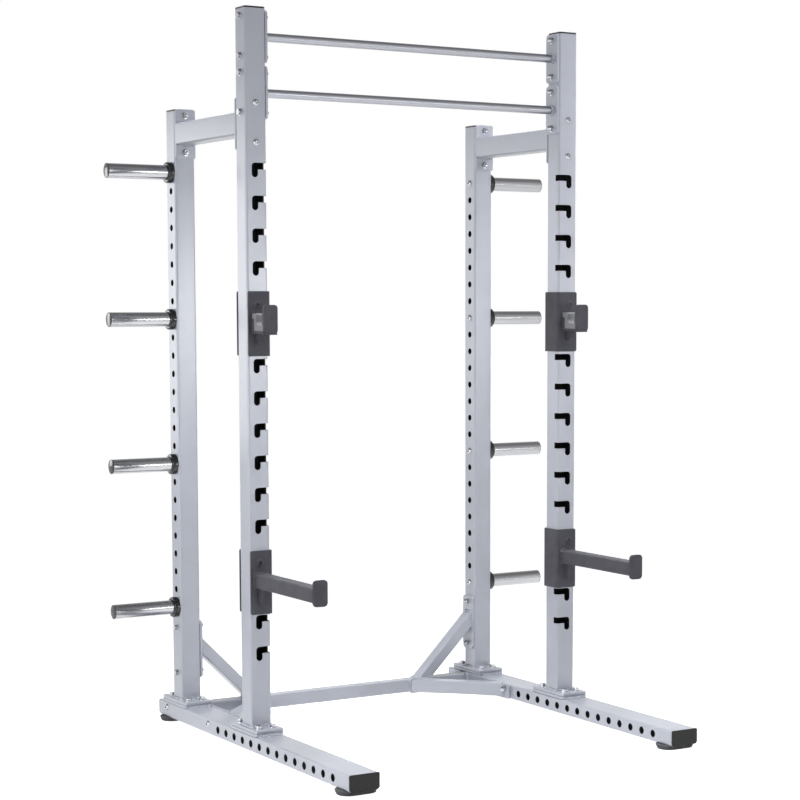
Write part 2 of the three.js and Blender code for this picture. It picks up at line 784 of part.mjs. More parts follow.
// Spotter arm: bracket, square tube, end plate and the web below the tube
function spotterArm() {
  const number = spotterSlotsAboveBottom;
  const lowZ = slotSeatZ(number - 1) + spotterRise;
  const centreZ = lowZ + spotterTube / 2;
  const endY = bracketFrontY - spotterReach;
  const tubeEndY = endY + spotterEndThickness / 2;
  const joinY = bracketFrontY + bracketPlate / 2;
  const section = tubeSection(sideX, centreZ, spotterTube, spotterTube, spotterWall, spotterCorner);
  const endLowZ = lowZ - spotterEndDrop;
  const endHalf = spotterEndWidth / 2;
  const endPlate = rounded(
    sideX - endHalf,
    sideX + endHalf,
    endLowZ,
    endLowZ + spotterEndHeight,
    spotterEndCorner,
  );
  const web = polygon([
    [joinY, lowZ + spotterWall / 2],
    [bracketFrontY - spotterWebDepth, lowZ + spotterWall / 2],
    [bracketFrontY - spotterWebToeDepth, lowZ - spotterWebHeight],
    [joinY, lowZ - spotterWebHeight],
  ]);
  const vent = circle(sideX, centreZ, spotterVent / 2);
  return union([
    bracket(number, spotterTopMargin, spotterBottomMargin),
    prism("y", section, tubeEndY, joinY),
    prism("y", endPlate, endY, endY + spotterEndThickness, plateCornerSteps),
    prism("x", web, sideX - spotterWebThickness / 2, sideX + spotterWebThickness / 2),
  ]).subtract(prism("y", vent, bracketFrontY - overrun, frontFaceY + overrun, holeSteps));
}

// The rack as a scene graph: everything is drawn on the right, and mirrored for the left
const rack = new THREE.Group();

function addPiece(name, solid, material) {
  const mesh = new THREE.Mesh(toGeometry(solid), material);
  mesh.name = name;
  rack.add(mesh);
  return mesh;
}

function addPair(name, solid, material) {
  addPiece(`${name}_right`, solid, material);
  const left = addPiece(`${name}_left`, solid, material);
  left.scale.x = -1;
}

addPair("base_rail", baseRail(), silverCoat);
addPair("rail_cap_front", railCap(-1), blackPlastic);
addPair("rail_cap_rear", railCap(1), blackPlastic);
addPair("foot_pad_front", footPad(-1), rubber);
addPair("foot_pad_rear", footPad(1), rubber);
addPair("front_upright", frontUpright(), silverCoat);
addPair("rear_upright", rearUpright(), silverCoat);
addPair("front_upright_cap", uprightCap(frontUprightY, frontHeight), blackPlastic);
addPair("rear_upright_cap", uprightCap(rearUprightY, rearHeight), blackPlastic);
addPair("side_arm", sideArm(), silverCoat);
addPair("brace", brace(), silverCoat);
addPiece("rear_crossmember", rearCrossmember(), silverCoat);
addPiece("pull_up_bar_upper", pullUpBar(frontHeight - topBarDrop), silverCoat);
addPiece("pull_up_bar_lower", pullUpBar(frontHeight - topBarDrop - barSpacing), silverCoat);
for (let number = 0; number < hornCount; number += 1) {
  const centreZ = holeZ(number * hornHoleStep);
  addPair(`plate_horn_${number + 1}`, horn(centreZ), chrome);
  addPair(`horn_collar_${number + 1}`, hornCollar(centreZ), blackPlastic);
  addPair(`horn_cap_${number + 1}`, hornCap(centreZ), blackPlastic);
}
addPair("bar_hook", barHook(), charcoalCoat);
addPair("hook_liner", hookLiner(), palePlastic);
addPair("spotter_arm", spotterArm(), charcoalCoat);

export default rack;
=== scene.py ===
"""Looks of a squat rack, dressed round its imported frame. Metres, Z up, the rack faces -Y.

Pieces that come in pairs are drawn on the right-hand side and mirrored to the left.
"""

import math

import bmesh
import bpy
from bpy.props import FloatProperty, FloatVectorProperty, IntProperty, PointerProperty
from mathutils import Matrix, Vector


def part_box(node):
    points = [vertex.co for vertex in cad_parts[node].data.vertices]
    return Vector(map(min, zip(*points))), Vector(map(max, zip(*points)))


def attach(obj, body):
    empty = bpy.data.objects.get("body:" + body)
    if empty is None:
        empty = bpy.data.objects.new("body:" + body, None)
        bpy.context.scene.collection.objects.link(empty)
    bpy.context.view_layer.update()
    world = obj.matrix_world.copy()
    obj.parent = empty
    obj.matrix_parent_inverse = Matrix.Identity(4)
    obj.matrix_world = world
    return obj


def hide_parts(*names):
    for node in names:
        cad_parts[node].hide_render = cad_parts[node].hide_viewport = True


bl_info = {
    "name": "Squat Rack",
    "version": (1, 0, 0),
    "blender": (4, 5, 0),
    "location": "View3D > Sidebar > Squat Rack",
    "description": "Dresses the frame of a squat rack with its pieces and finishes",
    "category": "Add Mesh",
}

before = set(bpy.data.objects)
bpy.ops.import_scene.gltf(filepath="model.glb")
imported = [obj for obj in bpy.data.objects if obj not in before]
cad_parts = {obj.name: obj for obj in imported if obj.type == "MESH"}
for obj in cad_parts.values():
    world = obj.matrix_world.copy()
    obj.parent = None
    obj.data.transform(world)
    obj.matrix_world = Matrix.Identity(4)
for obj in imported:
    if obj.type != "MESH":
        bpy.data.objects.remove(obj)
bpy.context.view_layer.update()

MM = 0.001
OVERRUN = 2 * MM  # how far a cut runs past a face
SAME_PLANE = 0.02 * MM  # how far apart two faces may lie and still count as one
SAME_WAY = math.cos(math.radians(1.8))  # how nearly their normals have to agree
CORNER_STEPS = 6
PAD_CORNER_STEPS = 4
INNER_BEND_STEPS = 4
ROUND_SIDES = 48
PEG_SIDES = 32
HOLE_SIDES = 32
FASTENER_SIDES = 24
WELD_SIDES = 8
RIPPLE_STEPS = 4
SHARP_ANGLE = math.radians(50)
RIGHT_LEFT = ("right", "left")

# Rounding of edges: cut plate, folded or moulded plate, milled block, plastic cap
PLATE_EASE = 0.8 * MM
FINE_EASE = 0.6 * MM
BLOCK_EASE = 1 * MM
CAP_EASE = 1.4 * MM

WASHER_SHARE = 0.19  # thickness of a washer as a share of its bolt's diameter

# Rings of a foot pad with its two grooves: (share of the pad's taper, millimetres above the floor)
PAD_RINGS = (
    (1.2, 0),
    (1, 1),
    (0.7, 4.2),
    (1, 4.7),
    (1, 5.7),
    (0.5, 6.2),
    (0.2, 9.4),
    (0.6, 9.9),
    (0.6, 10.9),
    (0, 11.4),
)

X_WAY, Y_WAY, Z_WAY = Vector((1, 0, 0)), Vector((0, 1, 0)), Vector((0, 0, 1))

# First and second finish of a pierced tube, coated or bare; the near-black second finish is partly painted
# shade
COATED_WITH_SHADED_CUTS = ("silver_powder_coat", "mill_scale_and_painted_shade")
BARE_STEEL_AND_SHADE = ("mill_scale_and_painted_shade", "mill_scale_and_painted_shade")


def linear(code):
    """An sRGB hex value as linear red, green and blue."""
    parts = [int(code[k : k + 2], 16) / 255 for k in (1, 3, 5)]
    return [p / 12.92 if p <= 0.04045 else ((p + 0.055) / 1.055) ** 2.4 for p in parts]


def length(name, description, millimetres):
    """A size that a user may change, its default given in millimetres."""
    size = millimetres * MM
    return FloatProperty(
        name=name, description=description, default=size, min=0, unit="LENGTH", subtype="DISTANCE"
    )


def colour(name, description, code):
    """A colour that a user may change, its default given as an sRGB hex value."""
    return FloatVectorProperty(
        name=name, description=description, size=3, default=linear(code), min=0, max=1, subtype="COLOR"
    )


class RackFinishes(bpy.types.PropertyGroup):
    """Colours of the finishes"""

    silver: colour("Silver coat", "Powder coat of the frame", "#AFB3BE")
    charcoal: colour("Charcoal coat", "Powder coat of the hooks and spotter arms", "#595960")
    chrome: colour("Chrome", "Plating of the plate horns", "#B0B1B4")
    satin: colour("Satin chrome", "Plating of the pull-up bars", "#A8A9B0")
    zinc: colour("Zinc", "Plating of the bolts, nuts and washers", "#B9BBBF")
    plastic: colour("Black plastic", "Caps, inserts and stop collars", "#111214")
    rubber: colour("Rubber", "Foot pads", "#5C5D60")
    liner: colour("Pale plastic", "Liners of the hooks", "#949599")
    # The near-black mill scale is partly painted shade for the inside of the tubes and their cuts
    scale: colour("Mill scale", "Bare steel inside the tubes and in their cuts", "#1C1C1F")
    floor: colour("Floor", "Studio floor", "#C4C4C4")


class RackUprights(bpy.types.PropertyGroup):
    """Sizes of the uprights, their slots, holes and plates"""

    size: length("Size", "Width of the square tube", 70)
    wall: length("Wall", "Thickness of the tube's wall", 4)
    corner: length("Corner", "Outer radius of the tube's corners", 7)
    plate: length("Foot plate", "Thickness of a foot plate and of a seat plate", 10)
    plate_corner: length("Plate corner", "Corner radius of the foot and seat plates", 10)
    plate_easing: length("Plate easing", "Rounding of these plates' edges, which shows their seam", 2.4)
    slots: IntProperty(name="Slots", description="J-slots in a front upright", default=16, min=1)
    slot_top: length("Lowest slot", "Floor to the top of the lowest slot", 338.6)
    slot_pitch: length("Slot pitch", "One slot to the next", 100)
    slot_width: length("Slot width", "Width of a slot's leg", 21)
    slot_height: length("Slot height", "Top of a slot to the foot of its leg", 44.6)
    slot_run: length("Slot run", "Height of the run that opens to the side", 20.6)
    slot_inset: length("Slot inset", "Inner face to the middle of the leg", 40)
    slot_mouth: length("Slot mouth", "How far the mouth runs back along the inner face", 21)
    holes: IntProperty(name="Holes", description="Holes in a rear upright", default=25, min=1)
    hole_height: length("Lowest hole", "Floor to the middle of the lowest hole", 396.5)
    hole_pitch: length("Hole pitch", "One hole to the next", 60)
    hole: length("Hole", "Diameter of a hole", 22)
    cap: length("Cap", "Thickness of the plastic cap", 5)


class RackBase(bpy.types.PropertyGroup):
    """Sizes of the rails, their end inserts, the foot pads and the crossmember"""

    width: length("Rail width", "Width of a base rail", 100)
    height: length("Rail height", "Height of a base rail", 50)
    wall: length("Rail wall", "Thickness of the rail's wall", 4)
    corner: length("Rail corner", "Outer radius of the rail's corners", 6)
    holes: IntProperty(name="Rail holes", description="Side holes in a rail", default=14, min=1)
    hole_inset: length("First rail hole", "Front end of the rail to the first hole", 101)
    hole: length("Rail hole", "Diameter of a side hole", 24)
    insert: length("Insert", "Thickness of an end insert's face", 4)
    insert_chamfer: length("Insert chamfer", "Cut at the insert's lower corners", 6)
    insert_rim: length("Insert rim", "Width of the rim round the insert's panel", 4)
    insert_panel: length("Insert panel", "Depth of the panel below this rim", 0.8)
    pad_corner: length("Pad corner", "Corner radius of a foot pad", 32)
    pad_taper: length("Pad taper", "How much narrower each side of the sole is", 3.5)
    tube: length("Crossmember tube", "Width of the crossmember's square tube", 45)
    tube_wall: length("Crossmember wall", "Thickness of its wall", 3)
    tube_corner: length("Crossmember corner", "Outer radius of its corners", 5)
    plate: length("Crossmember plate", "Thickness of its bolting plates", 8)
    plate_corner: length("Crossmember plate corner", "Corner radius of its plates", 8)
    diagonal: length("Diagonal", "How far a diagonal arm runs forward, and inward too", 232)
    brace_width: length("Brace width", "Tube of the brace, seen from the front", 40)
    brace_depth: length("Brace depth", "Tube of the brace, front to back", 50)
    brace_reach: length("Brace reach", "Brace's plate to the middle of its foot", 197)
    brace_plate: length("Brace plate", "Thickness of the brace's plate", 8)
    brace_plate_height: length("Brace plate height", "Height of the brace's plate", 193)
    brace_plate_corner: length("Brace plate corner", "Corner radius of the brace's plate", 12)


class RackTop(bpy.types.PropertyGroup):
    """Sizes of the side arms and the pull-up bars"""

    arm_plate: length("Arm plate", "Thickness of a side arm's end plates", 8)
    arm_plate_corner: length("Arm plate corner", "Corner radius of these plates", 8)
    bar: length("Bar", "Diameter of a pull-up bar", 27)
    bar_plate: length("Bar plate", "Thickness of a bar's end plates", 8)
    bar_plate_corner: length("Bar plate corner", "Corner radius of these plates", 12)


class RackHorns(bpy.types.PropertyGroup):
    """Sizes of the plate horns, their collars and caps"""

    count: IntProperty(name="Horns", description="Horns on each side", default=4, min=1)
    diameter: length("Horn", "Diameter of a plate horn", 48)
    wall: length("Horn wall", "Thickness of its tube", 3.5)
    seat: length("Horn seat", "Closed end against the upright", 8)
    collar: length("Collar", "Diameter of a stop collar", 68)
    collar_chamfer: length("Collar chamfer", "Chamfer round its outer edge", 2.5)
    collar_play: length("Collar play", "Gap between the horn and its collar", 0.2)
    edge: length("Edge", "Chamfer at the horn's tip and round the collar's hole", 0.8)
    cap: length("Horn cap", "How far the cap stands out of the horn", 3)
    cap_inset: length("Cap inset", "How much smaller the cap's rim is than the horn", 0.05)
    plug_play: length("Plug play", "Gap between the cap's plug and the horn's bore", 0.4)


class RackHooks(bpy.types.PropertyGroup):
    """Sizes of the brackets, the bar hooks with their liners and the spotter arms"""

    plate: length("Bracket plate", "Thickness of the folded plate", 6)
    gap: length("Bracket gap", "Bracket to the upright's faces", 0.3)
    bend: length("Bend", "Outer radius of the bracket's bends", 9)
    corner: length("Bracket corner", "Radius of the bracket's free corners", 6)
    peg: length("Peg", "Diameter of a peg", 19)
    peg_length: length("Peg length", "Bracket's front to the peg's tip", 24.3)
    peg_chamfer: length("Peg chamfer", "Chamfer at a peg's tip", 1.5)
    peg_head: length("Peg head", "Diameter of the upper peg's head", 26)
    peg_head_height: length("Peg head height", "How far the head stands out", 5)
    peg_socket: length("Peg socket", "Hex socket in the head, across its corners", 14)
    hook_top: length("Hook top margin", "Upper peg to the hook's top edge", 42.5)
    hook_bottom: length("Hook bottom margin", "Lower peg to the hook's bottom edge", 57.5)
    shelf_rise: length("Shelf rise", "Lower peg to the shelf's underside", 12.5)
    shelf: length("Shelf", "Thickness of the shelf and the lip", 8)
    cradle: length("Cradle", "Width of the shelf and the lip", 48)
    lip: length("Lip", "Height of the lip", 88)
    lip_corner: length("Lip corner", "Corner radius of the lip", 11)
    leg_depth: length("Leg depth", "Steel leg behind the liner, front to back", 12.7)
    leg_height: length("Leg height", "Shelf to the top of this leg", 37)
    hook_web: length("Hook web", "Thickness of the web under the shelf", 12)
    hook_web_depth: length("Hook web depth", "Bracket to the web's upright edge", 27)
    hook_web_edge: length("Hook web edge", "Height of this edge", 20)
    hook_web_toe: length("Hook web toe", "Depth of the web at its lower end", 12)
    hook_web_height: length("Hook web height", "Shelf's underside to the web's lower end", 32)
    liner_back: length("Liner back", "Thickness of the liner's back wall", 15)
    liner_seat: length("Liner seat", "Thickness of its seat", 18)
    liner_corner: length("Liner corner", "Radius of its inner corner", 14)
    lip_pad: length("Lip pad", "Thickness of the rubber pad inside the lip", 7)
    liner_edge: length("Liner edge", "Chamfer of its upper inner edges", 4)
    spotter_top: length("Arm top margin", "Upper peg to the arm bracket's top edge", 37.5)
    spotter_bottom: length("Arm bottom margin", "Lower peg to its bottom edge", 62.5)
    spotter_rise: length("Arm rise", "Lower peg to the arm's underside", 21.5)
    spotter_tube: length("Arm tube", "Width of the arm's square tube", 45)
    spotter_wall: length("Arm wall", "Thickness of its wall", 3)
    spotter_corner: length("Arm corner", "Outer radius of its corners", 5)
    spotter_web: length("Arm web", "Thickness of the web under the arm", 8)
    spotter_web_depth: length("Arm web depth", "Depth of this web under the arm", 20)
    spotter_web_toe: length("Arm web toe", "Depth of the web at its lower end", 16)
    spotter_web_height: length("Arm web height", "Height of the web", 52)
    spotter_end: length("Arm end", "Thickness of the arm's end plate", 8)
    spotter_end_drop: length("Arm end drop", "Arm's underside to the end plate's lower edge", 11)
    spotter_end_height: length("Arm end height", "Height of the end plate", 80)
    spotter_end_corner: length("Arm end corner", "Corner radius of the end plate", 12)


class RackJoining(bpy.types.PropertyGroup):
    """Sizes of the fasteners and welds"""

    bolt: length("Bolt", "Diameter of the frame's bolts", 12)
    cross_bolt: length("Crossmember bolt", "Diameter of the crossmember's bolts", 12.5)
    plate_bolt_rise: length("Plate bolt rise", "Middle of a side arm or pull-up bar to its bolts", 60)
    seat_bolt_side: length("Seat bolt side", "Middle of an upright to its seat bolts, sideways", 25)
    seat_bolt_reach: length("Seat bolt reach", "Middle of an upright to its seat bolts, along the rail", 65)
    cross_bolt_inset: length("Crossmember bolt inset", "Ends of its plate to its bolts", 26)
    cross_bolt_height: length("Crossmember bolt height", "Floor to its bolts", 48)
    brace_bolt_upper: length("Upper brace bolt", "Top of the brace's plate to its upper bolt", 20)
    brace_bolt_lower: length("Lower brace bolt", "Top of the brace's plate to its lower bolt", 173)
    weld: length("Weld", "Radius of a weld bead", 6)
    tube_weld: length("Tube weld", "Radius of a bead on the crossmember, braces and side arms", 4.8)
    hook_weld: length("Hook weld", "Radius of a bead on the hooks and under the spotter arms", 3.5)
    arm_weld: length("Arm weld", "Radius of the bead where a spotter arm meets its bracket", 4.9)
    arm_end_weld: length("Arm end weld", "Radius of the bead at its end plate", 2.8)
    ripple: length("Ripple", "One ripple of a weld to the next", 9)


# Outlines


def arc(u, v, radius, start, end, steps=CORNER_STEPS):
    """Points on an arc about (u, v), from one angle in degrees to another."""
    angles = [math.radians(start + (end - start) * k / steps) for k in range(steps + 1)]
    return [(u + radius * math.cos(a), v + radius * math.sin(a)) for a in angles]


def rounded(left, right, bottom, top, radius, steps=CORNER_STEPS):
    """A rectangle with round corners, given by its four sides, from its lower right corner on."""
    turns = (
        (right - radius, bottom + radius, -90),
        (right - radius, top - radius, 0),
        (left + radius, top - radius, 90),
        (left + radius, bottom + radius, 180),
    )
    return [point for u, v, start in turns for point in arc(u, v, radius, start, start + 90, steps)]


def rounded_about(u, v, width, height, radius):
    """The same, given by its centre and sizes."""
    return rounded(u - width / 2, u + width / 2, v - height / 2, v + height / 2, radius)


def box_outline(axis, box, radius, inset=0.0, steps=CORNER_STEPS):
    """A box seen along an axis, drawn in by an inset on all sides, with round corners."""
    low, high = ({"x": corner.yz, "y": corner.xz, "z": corner.xy}[axis] for corner in box)
    sides = (low[0] + inset, high[0] - inset, low[1] + inset, high[1] - inset)
    return rounded(*sides, radius, steps)


def ring(u, v, radius, sides, flats=0):
    """Points round a circle, or on a regular polygon whose corners lie on that circle."""
    points = []
    for k in range(sides):
        angle = 2 * math.pi * k / sides
        reach = radius
        if flats:
            half = math.pi / flats
            reach = radius * math.cos(half) / math.cos(angle % (2 * half) - half)
        points.append((u + reach * math.cos(angle), v + reach * math.sin(angle)))
    return points


def spot(axis, u, v, w):
    """A point drawn across an axis: (y, z) along X, (x, z) along Y, (x, y) along Z."""
    return Vector({"x": (w, u, v), "y": (u, w, v), "z": (u, v, w)}[axis])


def across(axis, outline, w):
    """An outline set across an axis at a given place."""
    return [spot(axis, u, v, w) for u, v in outline]


# Closed shells, each made as a mesh in edit form


def bridge(shell, ends):
    """Faces between two rings of points, one of which may be a single point."""
    one, other = ends
    for k in range(max(len(one), len(other))):
        near = (one[k % len(one)], one[(k + 1) % len(one)])
        far = (other[(k + 1) % len(other)], other[k % len(other)])
        shell.faces.new(list(dict.fromkeys(near + far)))


def loft(rings, closed=False):
    """A shell through rings of points, filled at its two ends or joined up into a loop."""
    shell = bmesh.new()
    made = [[shell.verts.new(point) for point in points] for points in rings]
    if closed:
        made.append(made[0])
    for ends in zip(made, made[1:]):
        bridge(shell, ends)
    if not closed:
        for end in (made[0], made[-1]):
            if len(end) > 2:
                shell.faces.new(end)
    bmesh.ops.recalc_face_normals(shell, faces=shell.faces)
    return shell


def prism(axis, outline, low, high):
    """An outline run along an axis."""
    return loft([across(axis, outline, low), across(axis, outline, high)])


def pipe(outer, inner):
    """A shell between two outer rings and two inner rings, which makes a tube open at both ends."""
    return loft([*outer, *reversed(inner)], closed=True)


def tube(axis, u, v, width, height, wall, corner, low, high):
    """A length of rectangular tube."""
    outer = rounded_about(u, v, width, height, corner)
    inner = rounded_about(u, v, width - 2 * wall, height - 2 * wall, corner - wall / 2)
    return pipe(
        [across(axis, outer, low), across(axis, outer, high)],
        [across(axis, inner, low), across(axis, inner, high)],
    )


def bare_shade_skin(axis, u, v, width, height, wall, corner, low, high):
    """The thin uncoated skin inside such a tube, a dark sheet that is partly painted shade."""
    skin = 0.4 * MM
    inset = 2 * wall + skin / 2
    return tube(axis, u, v, width - inset, height - inset, skin, corner - wall / 2, low, high)


def turned(axis, centre, profile, direction=1, sides=ROUND_SIDES, closed=False):
    """A profile of (radius, height, flats) turned about an axis; a ring with flats is a polygon."""
    rings = []
    for radius, height, *flats in profile:
        points = ring(0, 0, radius, sides, *flats) if radius else [(0, 0)]
        rings.append([centre + point for point in across(axis, points, direction * height)])
    return loft(rings, closed)


def until(points, along, place, normal):
    """Points carried along a direction until each meets a plane."""
    return [point + along * ((place - point).dot(normal) / along.dot(normal)) for point in points]


def mitred_tube(start, along, height_direction, sizes, planes):
    """A straight tube cut off by a plane at each end, with its outer ring at both.

    Planes are (place, normal).
    """
    width, height, wall, corner = sizes
    side = height_direction.cross(along)
    outlines = (
        rounded_about(0, 0, width, height, corner),
        rounded_about(0, 0, width - 2 * wall, height - 2 * wall, corner - wall / 2),
    )
    sections = ([start + side * u + height_direction * v for u, v in outline] for outline in outlines)
    outer, inner = ([until(section, along, *plane) for plane in planes] for section in sections)
    return pipe(outer, inner), outer


def merged(shells):
    """Several shells as one."""
    whole = bmesh.new()
    for shell in shells:
        carrier = bpy.data.meshes.new("carrier")
        shell.to_mesh(carrier)
        shell.free()
        whole.from_mesh(carrier)
        bpy.data.meshes.remove(carrier)
    return whole


def combined(shell, tools, operation="DIFFERENCE"):
    """A shell with the tools taken out of it, or kept only where the tools are."""
    carriers = []
    for part in (shell, merged(tools)):
        mesh = bpy.data.meshes.new("carrier")
        part.to_mesh(mesh)
        part.free()
        carriers.append(bpy.data.objects.new("carrier", mesh))
        bpy.context.scene.collection.objects.link(carriers[-1])
    modifier = carriers[0].modifiers.new("Cut", "BOOLEAN")
    modifier.operation = operation
    modifier.solver = "EXACT"
    modifier.object = carriers[1]
    result = bmesh.new()
    result.from_object(carriers[0], bpy.context.evaluated_depsgraph_get())
    for carrier in carriers:
        mesh = carrier.data
        bpy.data.objects.remove(carrier)
        bpy.data.meshes.remove(mesh)
    return result


def pierced(shell, *rounds):
    """A shell with rounds of tools taken out of it. The faces they leave take the second finish, partly
    painted shade.
    """
    planes = [(face.normal.copy(), face.normal.dot(face.verts[0].co)) for face in shell.faces]
    for tools in rounds:
        shell = combined(shell, tools)
    for face in shell.faces:
        near = [place for normal, place in planes if normal.dot(face.normal) > SAME_WAY]
        offset = face.normal.dot(face.verts[0].co)
        kept = any(abs(offset - place) < SAME_PLANE for place in near)
        face.material_index = 0 if kept else 1
    return shell


def eased(shell, width=PLATE_EASE):
    """A shell with its sharp edges rounded off a little, as a coat or a mould leaves them."""
    edges = [edge for edge in shell.edges if edge.is_manifold and edge.calc_face_angle() > SHARP_ANGLE]
    bmesh.ops.bevel(
        shell, geom=edges, offset=width, segments=2, profile=0.5, affect="EDGES", clamp_overlap=True
    )
    return shell


def plate(axis, outline, low, high, easing=PLATE_EASE):
    """A flat plate with its edges eased."""
    return eased(prism(axis, outline, low, high), easing)


def weld(path, normal, radius, ripple, closed=True):
    """A rippled weld bead laid along a path that lies in a plane."""
    corners = list(path) + ([path[0]] if closed else [])
    runs = [(b - a).length for a, b in zip(corners, corners[1:])]
    total = sum(runs)
    count = RIPPLE_STEPS * max(2, round(total / ripple))
    rings = []
    for k in range(count if closed else count + 1):
        distance, index = total * k / count, 0
        while index < len(runs) - 1 and distance > runs[index]:
            distance -= runs[index]
            index += 1
        run = corners[index + 1] - corners[index]
        centre = corners[index] + run * (distance / runs[index])
        outward = run.normalized().cross(normal)
        # Even ripples, and a slower wander that keeps them from looking machined
        swell = 1 + 0.17 * math.sin(2 * math.pi * k / RIPPLE_STEPS) + 0.12 * math.sin(1.9 * k)
        points = ring(0, 0, radius * swell, WELD_SIDES)
        rings.append([centre + outward * u + normal * v for u, v in points])
    return loft(rings, closed)


# Fasteners, each a stack of profiles for a bolt of a given size


def washer(bolt):
    thickness = WASHER_SHARE * bolt
    outer = 0.94 * bolt
    edge = 0.04 * bolt
    return [(0, 0), (outer, 0), (outer, thickness - edge), (outer - edge, thickness), (0, thickness)]


def hexagon(bolt, base, height):
    """Profile of a hexagon with its upper corners taken off, open at the top."""
    corner, flat = 0.86 * bolt, 0.74 * bolt
    return [(0, base), (corner, base, 6), (corner, base + height - 0.09 * bolt, 6), (flat, base + height)]


def hex_head(bolt, base=0.0):
    height = 0.62 * bolt
    return [*hexagon(bolt, base, height), (0, base + height)]


def nut(bolt, base=0.0):
    height = 0.8 * bolt
    top = base + height
    thread = 0.47 * bolt
    end = top + 0.26 * bolt
    bolt_end = [(thread, top), (thread, top + 0.2 * bolt), (thread - 0.06 * bolt, end), (0, end)]
    return [*hexagon(bolt, base, height), *bolt_end]


def dome_nut(bolt, base=0.0):
    corner, flat = 0.86 * bolt, 0.74 * bolt
    shoulder = base + 0.55 * bolt
    skirt = [(0, base), (corner, base, 6), (corner, shoulder, 6), (flat, shoulder + 0.06 * bolt)]
    dome = [(u * bolt, shoulder + v * bolt) for u, v in arc(0, 0.1, 0.66, 0, 80)]
    return [*skirt, *dome, (0, dome[-1][1])]


def button_head(bolt, base=0.0):
    radius = 0.88 * bolt
    rise = 0.5 * bolt
    socket = 0.36 * bolt
    crown = [(radius * math.cos(a), base + rise * math.sin(a)) for a in (0, 0.35, 0.7, 1.0)]
    rim = crown[-1][1] + 0.02 * bolt
    floor = rim - 0.34 * bolt
    key_hole = [(socket * 1.05, rim), (socket, rim - 0.03 * bolt, 6), (socket, floor, 6), (0, floor)]
    return [(0, base), *crown, *key_hole]


def fasten(axis, direction, centres, *stack):
    """The same stack of washer and head, or nut, at several places on a face."""
    return [
        turned(axis, Vector(centre), profile, direction, FASTENER_SIDES)
        for centre in centres
        for profile in stack
    ]


def through_bolts(bolt, inner_x, outer_x, rows, *outer_stack):
    """Bolts along X through an upright or a rail, with a dome nut at the inner end."""
    inner = [(inner_x, y, z) for y, z in rows]
    outer = [(outer_x, y, z) for y, z in rows]
    inner_stack = (washer(bolt), dome_nut(bolt, WASHER_SHARE * bolt))
    return fasten("x", -1, inner, *inner_stack) + fasten("x", 1, outer, *outer_stack)


# Pieces


def add_piece(name, shell, finish, cut_finish=None, body="frame", nodes=()):
    """A finished piece that rides on a body and stands for the given nodes of the frame."""
    mesh = bpy.data.meshes.new(name)
    shell.to_mesh(mesh)
    shell.free()
    mesh.shade_smooth()
    mesh.set_sharp_from_angle(angle=SHARP_ANGLE)
    for surface in filter(None, (finish, cut_finish)):
        mesh.materials.append(bpy.data.materials[surface])
    piece = bpy.data.objects.new(name, mesh)
    bpy.context.scene.collection.objects.link(piece)
    shading = piece.modifiers.new("Even shading", "WEIGHTED_NORMAL")
    shading.keep_sharp = True
    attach(piece, body)
    if nodes:
        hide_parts(*nodes)
    return piece


def add_pair(name, shells, finish, cut_finish=None, body="frame", nodes=()):
    """A piece on the right and its mirror image on the left."""
    right = merged(shells)
    left = right.copy()
    bmesh.ops.transform(left, matrix=Matrix.Scale(-1, 4, (1, 0, 0)), verts=left.verts)
    bmesh.ops.reverse_faces(left, faces=left.faces)
    for side, shell in zip(RIGHT_LEFT, (right, left)):
        carrier = body if body == "frame" else f"{body}_{side}"
        stands_for = [f"{node}_{side}" for node in nodes]
        add_piece(f"{name}_{side}", shell, finish, cut_finish, carrier, stands_for)


def middle(node):
    """Centre of a node's box."""
    low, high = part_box(node)
    return (low + high) / 2


# Finishes


def add_node(tree, kind, inputs=(), **settings):
    """A node with its settings; an input is a value or another node's output."""
    node = tree.nodes.new("ShaderNode" + kind)
    for name, value in settings.items():
        setattr(node, name, value)
    for name, value in dict(inputs).items():
        if isinstance(value, bpy.types.NodeSocket):
            tree.links.new(value, node.inputs[name])
        else:
            node.inputs[name].default_value = value
    return node


def per_metre(millimetres):
    """Scale of a pattern whose grain has a real size."""
    return 1 / (millimetres * MM)


def shade(colour_value, factor):
    """A colour made a little lighter or darker."""
    return [min(1, part * factor) for part in colour_value] + [1]


def noise(tree, place, millimetres, detail):
    """A cloudy level from 0 to 1, with clouds of about a given width."""
    settings = {"Vector": place, "Scale": per_metre(millimetres), "Detail": detail}
    return add_node(tree, "TexNoise", settings).outputs["Fac"]


def drawn_noise(tree, place, sizes, detail):
    """The same with clouds drawn out to a size of their own along X, Y and Z."""
    scale = [per_metre(size) for size in sizes]
    drawn = add_node(tree, "Mapping", {"Vector": place, "Scale": scale}).outputs["Vector"]
    return add_node(tree, "TexNoise", {"Vector": drawn, "Scale": 1, "Detail": detail}).outputs["Fac"]


def spread(tree, level, low, high, low_level=0.0, high_level=1.0):
    """A number that goes from low to high as the level does."""
    ends = {"From Min": low_level, "From Max": high_level, "To Min": low, "To Max": high}
    return add_node(tree, "MapRange", {"Value": level, **ends}).outputs["Result"]


def two_tone(tree, level, colour_value, dark, light):
    """A colour between a darker and a lighter shade, each given as (level, share of the colour)."""
    ramp = add_node(tree, "ValToRGB", {"Fac": level})
    for stop, (position, share) in zip(ramp.color_ramp.elements, (dark, light)):
        stop.position = position
        stop.color = shade(colour_value, share)
    return ramp.outputs["Color"]


def relief(tree, height, strength, millimetres):
    """A bump of a given depth."""
    settings = {"Height": height, "Strength": strength, "Distance": millimetres * MM}
    return add_node(tree, "Bump", settings).outputs["Normal"]


def new_material(name, **shader):
    """An empty material with its shader's own numbers, its tree and its place in space."""
    material = bpy.data.materials.new(name)
    material.use_nodes = True
    tree = material.node_tree
    tree.nodes.clear()
    numbers = {key.replace("_", " "): value for key, value in shader.items()}
    surface = add_node(tree, "BsdfPrincipled", numbers)
    add_node(tree, "OutputMaterial", {"Surface": surface.outputs["BSDF"]})
    place = add_node(tree, "TexCoord").outputs["Object"]
    return tree, surface, place


